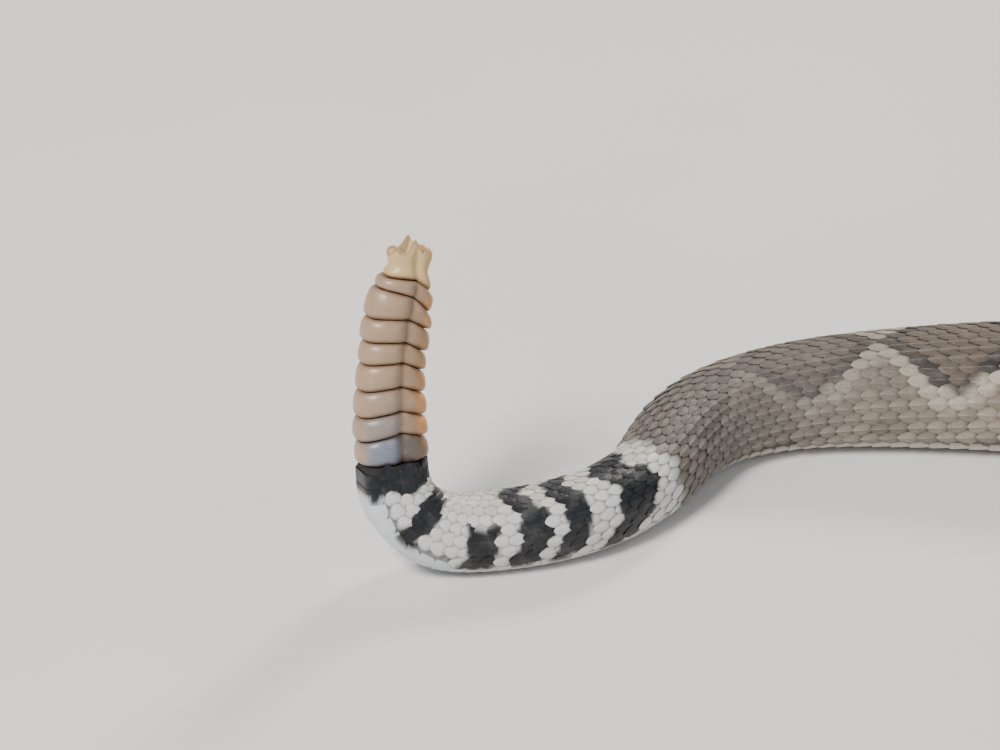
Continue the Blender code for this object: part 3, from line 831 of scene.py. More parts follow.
rows = skin_rows()
depth = skin_depth(STATIONS[rows])
end_round = eased(1.0 - STATIONS[rows] / 0.0015) * 0.5 * MM
skin_points = OUTER[rows][:, :-1] - NORMAL[rows][:, :-1] * (depth + end_round)[:, None, None]
count_round = skin_points.shape[1]
at_all = np.repeat(STATIONS[rows], count_round)
share_all = np.tile(np.linspace(-1.0, 1.0, count_round + 1)[:-1], len(rows))
flat_normals = NORMAL[rows][:, :-1].reshape(-1, 3)
flat_points, dark = pressed(skin_points.reshape(-1, 3), flat_normals, at_all)
colours = tint(at_all, share_all, 0.3 * wobble(at_all, share_all, 4.0))
# Painted shade in the pits, nostrils, eye sockets and along the mouth line
colours[:, :3] *= (1.0 - 0.9 * dark)[:, None]
faces = []
for i in range(len(rows) - 1):
    for j in range(count_round):
        k = (j + 1) % count_round
        a, b = i * count_round, (i + 1) * count_round
        faces.append((a + j, a + k, b + k, b + j))
flat_points[:, 2] = np.maximum(flat_points[:, 2], 0.0003)
ends = np.array([flat_points[:count_round].mean(axis=0), flat_points[-count_round:].mean(axis=0)])
last = (len(rows) - 1) * count_round
for j in range(count_round):
    k = (j + 1) % count_round
    faces.append((k, j, len(flat_points)))
    faces.append((last + j, last + k, len(flat_points) + 1))
all_points = np.vstack([flat_points, ends])
skin_mesh = mesh_of("skin", all_points, faces, [SKIN])
paint(skin_mesh, np.vstack([colours, colours[:1], colours[-1:]]))


def face_outwards(mesh):
    shell = bmesh.new()
    shell.from_mesh(mesh)
    bmesh.ops.recalc_face_normals(shell, faces=shell.faces)
    shell.to_mesh(mesh)
    shell.free()


face_outwards(skin_mesh)
skin = link("skin", skin_mesh)
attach(skin, "root")
flesh = [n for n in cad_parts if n.startswith(("head", "lower", "neck", "body", "tail"))]
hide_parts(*flesh)
print("skin", len(all_points), "points", len(faces), "faces, stands for", len(flesh), "solids")

# %% [markdown]
# ## Plates by Geometry Nodes
# A snake this long wears some five thousand plates. Modelling them one by one is out of
# the question, and a bump map has no edge for the light to catch. So one plate is made, a
# few dozen faces, and a Geometry Nodes tree sets it on every root point, turned along the
# lie of the skin, lifted at its tip, and sized by attributes that the points carry.


# %% One plate
def set_leaf(mesh, values):
    """Stores each point's own place on its plate, which the finishes read."""
    layer = mesh.attributes.new("leaf", "FLOAT_VECTOR", "POINT")
    layer.data.foreach_set("vector", np.array(values, dtype=np.float32).ravel())


def set_map(mesh, cells):
    """Lays the points out flat in the map that baking uses."""
    corners = np.array([loop.vertex_index for loop in mesh.loops])
    layer = mesh.uv_layers.new(name="OFBake")
    layer.data.foreach_set("uv", np.array(cells)[corners].astype(np.float32).ravel())


def plate_mesh(name, columns, row_count, round_off, dome, keel, material):
    """A closed plate, 1 wide and 1 long: its root at y = -0.5, its free tip at y = 0.5."""
    steps = np.array([0.16, 0.34, 0.52, 0.70, 0.88])
    steps = np.interp(np.linspace(0, 1, row_count), np.linspace(0, 1, 5), steps)
    points, leaf, faces = [], [], []
    for v in steps:
        t = (v - 0.46) / (0.46 if v < 0.46 else 0.54)
        half = 0.5 * (1.0 - abs(t) ** round_off) ** (1.0 / round_off)
        for u in columns:
            ridge = keel * math.exp(-((u / 0.13) ** 2)) * eased(v / 0.5) * eased((1.02 - v) / 0.2)
            crest = dome * (1.0 - 0.85 * u * u) * eased(v / 0.35) * (1.0 - 0.45 * v)
            points.append((u * half, v - 0.5, float(crest + ridge)))
            leaf.append((u, v, 0.0))
    wide = len(columns)
    root, tip, under = len(points), len(points) + 1, len(points) + 2
    points += [(0.0, -0.5, -0.1), (0.0, 0.5, 0.12 * dome), (0.0, -0.05, -0.45)]
    leaf += [(0.0, 0.0, 0.0), (0.0, 1.0, 0.0), (0.0, 0.2, 0.0)]
    for i in range(row_count - 1):
        for j in range(wide - 1):
            a = i * wide + j
            faces.append((a, a + 1, a + wide + 1, a + wide))
    end = (row_count - 1) * wide
    for j in range(wide - 1):
        faces.append((root, j + 1, j))
        faces.append((tip, end + j, end + j + 1))
    rim = [root] + [i * wide for i in range(row_count)] + [tip]
    rim += [i * wide + wide - 1 for i in reversed(range(row_count))]
    for a, b in zip(rim, rim[1:] + rim[:1]):
        faces.append((a, b, under))
    mesh = mesh_of(name, np.array(points), faces, [material])
    face_outwards(mesh)
    set_leaf(mesh, leaf)
    return link(name, mesh)


FINE = (-1.0, -0.6, -0.2, 0.0, 0.2, 0.6, 1.0)
PLATES = {
    "keeled": plate_mesh("keeled_plate", FINE, 5, 1.75, 0.62, 0.55, KEELED),
    "tail": plate_mesh("tail_plate", FINE, 5, 1.80, 0.58, 0.14, TAIL_HORN),
    "cobble": plate_mesh("cobble_plate", FINE, 5, 2.9, 1.0, 0.0, HEAD_HORN),
    "small": plate_mesh("small_plate", FINE, 5, 2.1, 0.8, 0.42, HEAD_HORN),
}
for kind, plate in PLATES.items():
    print(kind, len(plate.data.polygons), "faces")

# %% The tree that sets the plates

def plate_tree():
    """Points in, plates out. Sizes and ways come from the points' own attributes."""
    tree = bpy.data.node_groups.new("set_plates", "GeometryNodeTree")
    tree.interface.new_socket("Roots", in_out="INPUT", socket_type="NodeSocketGeometry")
    for name, kind in (
        ("Plate", "NodeSocketObject"),
        ("Finish", "NodeSocketMaterial"),
        ("Tip lift", "NodeSocketFloat"),
        ("Unevenness", "NodeSocketFloat"),
        ("Seed", "NodeSocketInt"),
    ):
        tree.interface.new_socket(name, in_out="INPUT", socket_type=kind)
    tree.interface.new_socket("Plates", in_out="OUTPUT", socket_type="NodeSocketGeometry")
    board = Board(tree)
    group = tree.nodes.new("NodeGroupInput")
    given = {socket.name: Wire(board, socket) for socket in group.outputs if socket.name}

    def named(name, kind="FLOAT_VECTOR"):
        return board.add("GeometryNodeInputNamedAttribute", {"data_type": kind}, name)

    turn = board.add(
        "FunctionNodeAxesToRotation",
        {"primary_axis": "Y", "secondary_axis": "Z"},
        named("lie"),
        named("out"),
    )
    uneven = board.add(
        "FunctionNodeRandomValue",
        {"data_type": "FLOAT"},
        Min=-given["Unevenness"],
        Max=given["Unevenness"],
        Seed=given["Seed"],
        out=1,
    )
    lift = board.add("ShaderNodeCombineXYZ", None, given["Tip lift"] + uneven, uneven * 0.7, uneven)
    source = board.add("GeometryNodeObjectInfo", None, given["Plate"], out=4)
    placed = board.add(
        "GeometryNodeInstanceOnPoints",
        None,
        Points=given["Roots"],
        Instance=source,
        Rotation=turn,
        Scale=named("size"),
    )
    placed = board.add(
        "GeometryNodeRotateInstances",
        None,
        Instances=placed,
        Rotation=board.add("FunctionNodeEulerToRotation", None, lift),
    )
    real = board.add("GeometryNodeRealizeInstances", None, placed)
    spread = board.add("ShaderNodeVectorMath", {"operation": "MULTIPLY"}, named("leaf"), named("patch"))
    spot = board.add("ShaderNodeVectorMath", {"operation": "ADD"}, spread, named("cell"))
    mapped = board.add(
        "GeometryNodeStoreNamedAttribute",
        {"data_type": "FLOAT2", "domain": "CORNER"},
        Geometry=real,
        Name="OFBake",
        Value=spot,
    )
    dressed = board.add("GeometryNodeSetMaterial", None, Geometry=mapped, Material=given["Finish"])
    board.add("NodeGroupOutput", None, dressed)
    return tree


PLATE_TREE = plate_tree()


# How freely the markings run across one plate: 0 gives each plate one colour
FOLLOW = {"tail": 0.50, "keeled": 0.28, "small": 0.85, "cobble": 0.85}


def root_points(name, roots):
    """A mesh of bare points that carries what the tree reads."""
    mesh = bpy.data.meshes.new(name)
    mesh.from_pydata(roots["place"].tolist(), [], [])
    for key in ("lie", "out", "size", "cell", "patch"):
        layer = mesh.attributes.new(key, "FLOAT_VECTOR", "POINT")
        layer.data.foreach_set("vector", np.ascontiguousarray(roots[key], np.float32).ravel())
    return link(name, mesh)


def paint_plates(mesh, roots, follow):
    """Colours each plate's points by where they lie, held a little to the plate's root."""
    each = len(mesh.vertices) // len(roots["at"])
    points = np.empty(len(mesh.vertices) * 3, np.float32)
    mesh.vertices.foreach_get("co", points)
    at, share, jitter = (np.repeat(roots[key], each) for key in ("at", "share", "jitter"))
    lie, out = sample(LIE, roots["at"], roots["share"]), sample(NORMAL, roots["at"], roots["share"])
    step = points.reshape(-1, 3) - np.repeat(roots["place"], each, axis=0)
    tailwards = np.einsum("ij,ij->i", step, np.repeat(lie, each, axis=0))
    round_by = np.einsum("ij,ij->i", step, np.repeat(np.cross(out, lie), each, axis=0))
    at = at - follow * tailwards / np.maximum(sample(STRETCH, at, share), 0.4)
    share = share + follow * round_by / along_stations(HALF_ROUND, at)
    share = np.where(share > 1.0, share - 2.0, np.where(share < -1.0, share + 2.0, share))
    paint(mesh, tint(np.clip(at, 0.0, TOTAL_LENGTH), share, jitter))


def grow(name, roots, plate, material, lift, uneven, seed):
    """Runs the tree on the roots and keeps the result as one plain mesh."""
    carrier = root_points(name, roots)
    modifier = carrier.modifiers.new("plates", "NODES")
    modifier.node_group = PLATE_TREE
    values = {
        "Plate": PLATES[plate],
        "Finish": material,
        "Tip lift": math.radians(lift),
        "Unevenness": math.radians(uneven),
        "Seed": seed,
    }
    for item in PLATE_TREE.interface.items_tree:
        if item.name in values:
            modifier[item.identifier] = values[item.name]
    graph = bpy.context.evaluated_depsgraph_get()
    mesh = bpy.data.meshes.new_from_object(carrier.evaluated_get(graph), depsgraph=graph)
    carrier.modifiers.remove(modifier)
    carrier.data = mesh
    mesh.name = name
    paint_plates(mesh, roots, FOLLOW[plate])
    mesh.shade_smooth()
    mesh.set_sharp_from_angle(angle=math.radians(58.0))
    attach(carrier, "root")
    print(name, len(roots["place"]), "plates", len(mesh.polygons), "faces")
    return carrier


# %% [markdown]
# ## Where each plate goes
# Rows of plates run the length of the snake, every second one shifted by half a plate, so
# the body looks woven. The number of rows changes slowly from tail to neck. Rows are
# counted outwards from the middle of the back, so those that no longer fit slide under
# the belly plates one by one, as they do on the real animal.

# %% Rows and pitches
# Distance from the rattle, plates round the back from belly edge to belly edge, and the
# distance between plates of one row in millimetres
ROWS = (
    (0.000, 13.0, 2.9),
    (0.040, 15.5, 3.25),
    (0.082, 19.0, 3.9),
    (0.200, 23.0, 5.3),
    (0.450, 25.0, 6.5),
    (0.800, 25.0, 6.7),
    (1.050, 25.0, 5.5),
    (1.150, 25.0, 4.3),
    (1.195, 25.0, 3.2),
    (1.215, 27.0, 2.6),
    (1.230, 25.0, 2.3),
    (1.242, 19.0, 2.1),
    (1.250, 11.0, 1.8),
)
ROW_SPREAD = 0.16  # rows are closer on the back and wider on the flank
SHORTEST = 0.50  # of the full length, where a bend crowds the plates
PLATE_RISE = 0.42  # height of a plate over its skin at its middle, of the coat's depth


def lay_rows(start, end):
    """Distances, shares and sizes of the plates between two stations."""
    table = np.array(ROWS)
    at, step, found = 0.0012, 0, []
    while at < end:
        pitch = np.interp(at, table[:, 0], table[:, 2]) * MM
        if at >= start:
            reach = np.interp(at, table[:, 0], table[:, 1]) / 2
            edge = along_stations(EDGE, [at])[0]
            arc = along_stations(HALF_ROUND, [at])[0] * edge
            limit = int(reach - 0.30)
            for j in range(-limit, limit + 1):
                if (j + step) % 2:
                    continue
                x = abs(j) / reach
                share = math.copysign(edge * x * (1 - ROW_SPREAD + ROW_SPREAD * x), j)
                width = arc / reach * (1 - ROW_SPREAD + 2 * ROW_SPREAD * x)
                found.append((at, share, width, pitch))
        at += pitch / 2
        step += 1
    return np.array(found)


def place_on_skin(at, share, rise):
    """Place, way out and way towards the tail for points that stand over the skin."""
    normal, lie = sample(NORMAL, at, share), sample(LIE, at, share)
    normal /= np.linalg.norm(normal, axis=1)[:, None]
    lie /= np.linalg.norm(lie, axis=1)[:, None]
    return sample(OUTER, at, share) - normal * (skin_depth(at) * (1 - rise))[:, None], normal, lie


def roots_on(at, share, width, length, thick, rise=PLATE_RISE, colour_jitter=1.0):
    """All that the tree needs for plates at these places, mapped onto their own unwrap."""
    spots, normal, lie = place_on_skin(at, share, rise)
    low, high = at.min(), at.max()
    cell = np.stack([(at - low) / max(high - low, 1e-6), (share + 1) / 2, 0 * at], axis=1)
    cell[:, :2] = 0.02 + 0.95 * cell[:, :2]
    patch = np.tile([0.0012, 0.0030, 0.0], (len(at), 1))
    jitter = rng.uniform(-1.0, 1.0, len(at)) * colour_jitter
    return {
        "place": spots,
        "out": normal,
        "lie": lie,
        "size": np.stack([width, length, thick], axis=1),
        "cell": cell,
        "patch": patch,
        "at": at,
        "share": share,
        "jitter": jitter,
    }


# %% The plates of the tail, the body and the neck
# Name, start, end, plate, finish, width and length over the distances between plates,
# lift of the tips in degrees, and the slot
STRETCHES = (
    ("tail_plates", 0.0, 0.0815, "tail", TAIL_HORN, 1.38, 1.46, 4.2, "tail_skin"),
    ("rear_plates", 0.0815, 0.36, "keeled", KEELED, 1.36, 1.42, 4.4, "scaled_skin"),
    ("middle_plates", 0.36, 0.66, "keeled", KEELED, 1.38, 1.45, 4.2, "scaled_skin"),
    ("front_plates", 0.66, 0.96, "keeled", KEELED, 1.38, 1.45, 4.2, "scaled_skin"),
    ("neck_plates", 0.96, 1.203, "keeled", KEELED, 1.36, 1.40, 4.4, "scaled_skin"),
)
for seed, (name, start, end, kind, material, wide, long, lift, slot) in enumerate(STRETCHES):
    at, share, width, pitch = lay_rows(start, end).T
    at = np.clip(at + rng.uniform(-0.04, 0.04, len(at)) * pitch, 0.0006, None)
    length = long * pitch * np.clip(sample(STRETCH, at, share), SHORTEST, 1.25)
    width = wide * width * rng.uniform(0.95, 1.05, len(at))
    roots = roots_on(at, share, width, length, 0.115 * width)
    grow(name, roots, kind, material, lift, 1.2, seed)

# %% [markdown]
# ## The face
# The crown, the cheeks and the throat of a rattlesnake wear small plates of uneven size,
# packed like cobbles, while the mouth, the eyes and the chin are edged by larger shields
# with names. Rows alone would look machined there. So the shields are set first, in
# short lists of places, and the small plates start from rows and then push one another
# apart until each has its room and none lies on an eye, a pit or a shield.

# %% Places for the shields of the lips, the eyes and the nose
LABIALS = 15
UPPER_LIP = (1.62, 2.95)  # distance from the mouth and height of the shields
LOWER_LIP = (1.48, 2.55)
EYE_RING = 13
EYE_RING_SIZE = (3.55, 3.45)  # half length and half height of the ring of eye shields
NASALS = ((44.3, 48.5), (3.4, 2.7))  # distances along the head, and heights
CHIN_SHIELDS = ((42.6, 36.2), (0.13, 0.14))  # distances along, shares from the middle


def shield_roots(at, share, width, length, turn=0.0, thick=0.40 * MM, rise=0.85):
    """Roots for shields, in millimetres, turned in the skin by an angle in degrees."""
    at, share = np.asarray(at, float), np.asarray(share, float)
    sizes = [np.broadcast_to(np.asarray(v, float) * MM, at.shape) for v in (width, length)]
    full = np.broadcast_to(thick, at.shape)
    roots = roots_on(at, share, *sizes, full, rise=rise, colour_jitter=0.35)
    a = np.radians(np.broadcast_to(turn, at.shape))[:, None]
    sideways = np.cross(roots["out"], roots["lie"])
    roots["lie"] = np.cos(a) * roots["lie"] + np.sin(a) * sideways
    return roots


def joined(parts):
    return {key: np.concatenate([part[key] for part in parts]) for key in parts[0]}


def lip_places(offset):
    """Evenly spaced places along a lip, from the corner of the mouth to the snout."""
    along = np.linspace(MOUTH_CORNER + 0.8, 49.9, 160)
    mouth = curve_through(MOUTH_LINE, 1, along)
    at = HEAD_START + along * MM
    share = np.array([share_at_height(a, (m + offset) * MM) for a, m in zip(at, mouth)])
    points = sample(OUTER, at, share)
    run = np.concatenate([[0.0], np.cumsum(np.linalg.norm(np.diff(points, axis=0), axis=1))])
    even = (np.arange(LABIALS) + 0.5) / LABIALS * run[-1]
    return np.interp(even, run, at), np.interp(even, run, share), run[-1] / LABIALS / MM


def round_eye():
    """Places in a ring below and beside the eye, under its brow."""
    x, _, z = EYE_PLACE
    a = np.radians(np.linspace(-222.0, 42.0, EYE_RING))
    long, high = EYE_RING_SIZE
    at = HEAD_START + (x + long * np.cos(a)) * MM
    share = [share_at_height(i, (z + high * math.sin(j)) * MM) for i, j in zip(at, a)]
    return at, np.array(share), np.degrees(a)


lip_parts, jaw_parts, face_parts = [], [], []
for side in (1, -1):
    at, share, step = lip_places(UPPER_LIP[0])
    lip_parts.append(shield_roots(at, side * share, UPPER_LIP[1], 1.16 * step))
    at, share, step = lip_places(-LOWER_LIP[0])
    jaw_parts.append(shield_roots(at, side * share, LOWER_LIP[1], 1.16 * step))
    at, share, ways = round_eye()
    face_parts.append(shield_roots(at, side * share, 1.45, 1.9, side * (ways + 90.0), rise=1.0))
    at = HEAD_START + np.array(NASALS[0]) * MM
    heights = np.array(NASALS[1]) * MM
    share = np.array([share_at_height(i, j) for i, j in zip(at, heights)])
    face_parts.append(shield_roots(at, side * share, (3.0, 2.7), (2.5, 2.1)))
    at = HEAD_START + np.array(CHIN_SHIELDS[0]) * MM
    share = 1.0 - np.array(CHIN_SHIELDS[1])
    jaw_parts.append(shield_roots(at, side * share, (3.3, 2.9), (8.0, 5.6), side * 8.0))
print("lip shield every", round(step, 2), "mm")

# %% The shields on the very end of the snout
SNOUT = 50.0


def snout_root(spot, width, length, way, turn=0.0):
    """A shield on the snout's end; way 1 points its tip up, turn 1 faces it half left."""
    roots = shield_roots([TOTAL_LENGTH - 0.0002], [0.0], width, length)
    roots["place"] = np.array([head_spot(spot, 1)])
    roots["out"] = np.array([(nape[1] + turn * nape[2]) / math.hypot(1.0, turn)])
    roots["lie"] = np.array([way * nape[3]])
    return roots


lip_parts.append(snout_root((SNOUT - 0.15, 0.0, 0.75), 4.6, 5.6, 1))
for side in (1, -1):
    lip_parts.append(snout_root((SNOUT - 0.50, side * 3.1, 1.7), 3.0, 4.0, 1))
    face_parts.append(snout_root((SNOUT - 0.60, side * 1.22, 4.3), 3.1, 3.1, 1))
    face_parts.append(snout_root((SNOUT - 0.95, side * 4.15, 3.9), 2.5, 2.7, 1, 0.8 * side))
jaw_parts.append(snout_root((SNOUT - 0.35, 0.0, -2.85), 4.4, 2.3, -1))


# %% Small plates that push apart
def settle(at, share, room, fixed, fixed_room, low, high, rounds=60):
    """Moves places over the skin until each has its room, in millimetres."""
    at, share = at.copy(), share.copy()
    for _ in range(rounds):
        points = sample(OUTER, at, share) / MM
        push = np.zeros_like(points)
        others, other_room = np.vstack([points, fixed]), np.concatenate([room, fixed_room])
        apart = points[:, None] - others[None]
        away = np.linalg.norm(apart, axis=2)
        short = np.clip((room[:, None] + other_room[None]) - away, 0.0, 1.2)
        short[np.arange(len(points)), np.arange(len(points))] = 0.0
        weight = np.where(np.arange(len(others)) < len(points), 0.30, 0.60)
        push = np.einsum("ij,ijk->ik", short * weight / np.maximum(away, 0.2), apart)
        push /= np.maximum(np.linalg.norm(push, axis=1) / 0.6, 1.0)[:, None]
        lie, out = sample(LIE, at, share), sample(NORMAL, at, share)
        along = np.einsum("ij,ij->i", push, lie) * MM
        across = np.einsum("ij,ij->i", push, np.cross(out, lie)) * MM
        at = np.clip(at - along / np.maximum(sample(STRETCH, at, share), 0.5), low, high)
        share = share + across / along_stations(HALF_ROUND, at)
    return at, share


def crowding(at, share, room, fixed, fixed_room):
    """True for places that still have less than three fifths of their room."""
    points = sample(OUTER, at, share) / MM
    keep = np.ones(len(at), bool)
    for i in range(len(at)):
        if (np.linalg.norm(fixed - points[i], axis=1) < 0.80 * (fixed_room + room[i])).any():
            keep[i] = False
            continue
        away = np.linalg.norm(points - points[i], axis=1)
        close = (away < 0.62 * (room + room[i])) & keep
        close[i] = False
        if close.any():
            keep[i] = False
    return ~keep


def fixed_places():
    """Middles and half widths of all that the small plates must leave free."""
    spots, rooms = [], []
    for part, factor in [(p, 0.40) for p in lip_parts + jaw_parts + face_parts]:
        spots += list(part["place"] / MM)
        rooms += list(factor * np.minimum(part["size"][:, 0], part["size"][:, 1]) / MM)
    for side in (1, -1):
        for spot, radius in (
            (EYE_PLACE, EYE_RADIUS + 0.6),
            (PIT_PLACE, PIT_RADIUS + 0.25),
            (NOSTRIL_PLACE, NOSTRIL_RADIUS + 0.1),
        ):
            spots.append(head_spot(spot, side) / MM)
            rooms.append(radius)
        x, y, z = BROW_PLACE
        for step in (-3.4, -1.2, 1.2, 3.4):
            for outward in (-1.2, 0.8):
                spots.append(head_spot((x + step, y + outward, z), side) / MM)
                rooms.append(1.75 if abs(step) < 2 else 1.35)
        for x in (39.0, 41.4, 43.8, 34.2, 37.6):
            at = HEAD_START + x * MM
            inward = 0.13 if x > 38.5 else 0.14
            spots.append(sample(OUTER, np.array([at]), np.array([side * (1 - inward)]))[0] / MM)
            rooms.append(1.45)
    return np.array(spots), np.array(rooms)


FIXED, FIXED_ROOM = fixed_places()


def cobbles(name, at, share, room, limit, low, high, kind, seed, slot, shape, lift):
    """Settles small plates, drops those without room, and grows the rest."""
    for _ in range(2):
        at, share = settle(at, share, room, FIXED, FIXED_ROOM, low, high)
        out = crowding(at, share, room, FIXED, FIXED_ROOM) | limit(at, share)
        at, share, room = at[~out], share[~out], room[~out]
    wide, long = shape
    size = 2.0 * room * MM
    roots = roots_on(at, share, wide * size, long * size, 0.20 * size, rise=0.55, colour_jitter=0.8)
    grow(name, roots, kind, HEAD_HORN, lift, 2.0, seed)


def above_lips(at, share):
    """True for places that have slid below the lip shields' upper edge."""
    along = (at - HEAD_START) / MM
    height = (sample(OUTER, at, share) - nape[0]) @ nape[3] / MM
    mouth = curve_through(MOUTH_LINE, 1, np.maximum(along, MOUTH_CORNER))
    return (height < mouth + UPPER_LIP[1] + 0.15) & (along > MOUTH_CORNER - 1.0)


at, share, width, pitch = lay_rows(1.203, 1.2494).T
along = (at - HEAD_START) / MM
room = np.interp(along, (3.0, 14.0, 28.0, 38.0, 50.0), (1.50, 1.40, 1.08, 0.98, 0.92))
room = room * (1.0 + 0.12 * np.abs(share)) * rng.uniform(0.90, 1.12, len(at))
reach = (1.2030, 1.2498)
cobbles(
    "crown_plates", at, share, room, above_lips, *reach, "small", 11, "scaled_skin", (1.12, 1.42), 4.0
)

# %% The throat, the lips and the eye rings
throat_at, throat_share = [], []
x, step = 3.5, 0
while x < 47.0:
    reach = 1.0 - float(along_stations(EDGE, [HEAD_START + x * MM])[0])
    arc = reach * float(along_stations(HALF_ROUND, [HEAD_START + x * MM])[0]) / MM
    count = int(arc / 2.5)
    for j in range(-count, count + 1):
        if (j + step) % 2 == 0:
            away = j / max(count, 1) * reach * 0.94
            throat_at.append(HEAD_START + x * MM)
            throat_share.append(away + 1.0 if away < 0 else away - 1.0 + 1e-6)
    x += 1.7
    step += 1
throat_at, throat_share = np.array(throat_at), np.array(throat_share)
room = np.interp((throat_at - HEAD_START) / MM, (4.0, 30.0, 47.0), (1.55, 1.30, 1.05))


def under_jaw(at, share):
    """True for throat places that have slid up to the mouth or left the skin's map."""
    edge = along_stations(EDGE, at)
    arc = (np.abs(share) - edge) * along_stations(HALF_ROUND, at) / MM
    along = (at - HEAD_START) / MM
    near_lip = (arc < LOWER_LIP[1] + 0.5) & (along > MOUTH_CORNER)
    return (np.abs(share) > 1.0) | near_lip | (arc < 0.8)


reach = (1.2035, 1.2475)
places = (throat_at, throat_share, room)
cobbles("throat_plates", *places, under_jaw, *reach, "cobble", 12, "jaw_skin", (1.06, 1.22), 2.5)
grow("lip_shields", joined(lip_parts), "cobble", HEAD_HORN, 1.0, 1.0, 21)
grow("jaw_shields", joined(jaw_parts), "cobble", HEAD_HORN, 1.0, 1.0, 22)
grow("eye_rings_and_nose", joined(face_parts), "cobble", HEAD_HORN, 0.0, 1.5, 23)

# %% The brow shields
BROW_RINGS = 9
BROW_SIDES = 36


def brow_shields():
    """One broad shield over each eye, with a sharp outer rim that shades it."""
    points, faces, leaf, cells, places = [], [], [], [], []
    for side in (1, -1):
        tilt = math.radians(BROW_TILT)
        base = len(points)
        for ring in range(BROW_RINGS):
            r = 1.0 - ring / BROW_RINGS
            for i in range(BROW_SIDES):
                a = math.tau * i / BROW_SIDES
                cos_a = math.copysign(abs(math.cos(a)) ** 0.85, math.cos(a))
                x = BROW_SIZE[0] * r * cos_a * (1.0 - 0.12 * math.sin(a) * math.cos(a))
                y = BROW_SIZE[1] * r * math.sin(a)
                z = BROW_SIZE[2] * (math.sqrt(max(1.0 - r * r, 0.0)) * 0.95 + 0.10)
                z += 0.22 * max(math.sin(a), 0.0) * r**3
                cos_t, sin_t = math.cos(tilt), math.sin(tilt)
                y, z = y * cos_t + z * sin_t, z * cos_t - y * sin_t
                spot = (BROW_PLACE[0] + x, BROW_PLACE[1] + y, BROW_PLACE[2] + z)
                points.append(head_spot(spot, side))
                leaf.append((0.35, 0.85 - 0.3 * r, 0.0))
                cells.append((0.5 + 0.3 * side + 0.06 * cos_a * r, 0.5 + 0.03 * math.sin(a) * r))
                places.append(spot[0])
        top, under = len(points), len(points) + 1
        z = BROW_PLACE[2]
        crest = (BROW_PLACE[0], BROW_PLACE[1] + 0.25, z + 1.05 * BROW_SIZE[2])
        points.append(head_spot(crest, side))
        points.append(head_spot((BROW_PLACE[0], BROW_PLACE[1] - 0.3, z - 0.9), side))
        leaf += [(0.35, 0.85, 0.0), (0.35, 0.2, 0.0)]
        cells += [(0.5 + 0.3 * side, 0.5), (0.5 + 0.3 * side, 0.5)]
        places += [BROW_PLACE[0]] * 2
        for ring in range(BROW_RINGS - 1):
            for i in range(BROW_SIDES):
                j = (i + 1) % BROW_SIDES
                a, b = base + ring * BROW_SIDES, base + (ring + 1) * BROW_SIDES
                faces.append((a + i, a + j, b + j, b + i))
        last = base + (BROW_RINGS - 1) * BROW_SIDES
        for i in range(BROW_SIDES):
            j = (i + 1) % BROW_SIDES
            faces.append((last + i, last + j, top))
            faces.append((base + j, base + i, under))
    mesh = mesh_of("brow_shields", np.array([list(v) for v in points]), faces, [HEAD_HORN])
    face_outwards(mesh)
    set_leaf(mesh, leaf)
    bars = np.array([0.5 + 0.5 * math.cos(math.tau * (x - BROW_PLACE[0]) / 5.2) for x in places])
    ground = np.tile(GROUND * 1.25, (len(places), 1))
    colours = mix(ground, DIAMOND, 0.8 * eased((bars - 0.35) / 0.3))
    paint(mesh, np.hstack([colours, np.ones((len(places), 1))]))
    set_map(mesh, cells)
    return mesh


brow = link("brow_shields", brow_shields())
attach(brow, "root")
print("brow shields", len(brow.data.polygons), "faces")

# %% The belly plates
BELLY_STEPS = 17
BELLY_REACH = 0.985  # share of the seam angle's place where a plate ends
BELLY_OVERLAP = 0.34
LAST_BELLY = 1.204
# Along a plate from its free edge: share of its length, and depth under the outer
# surface in millimetres
BODY_BELLY = ((0.0, 0.10), (0.25, 0.11), (0.70, 0.24), (1.0 + BELLY_OVERLAP, 0.50))
TAIL_BELLY = ((0.0, 0.18), (0.25, 0.18), (0.70, 0.22), (1.0 + BELLY_OVERLAP, 0.38))


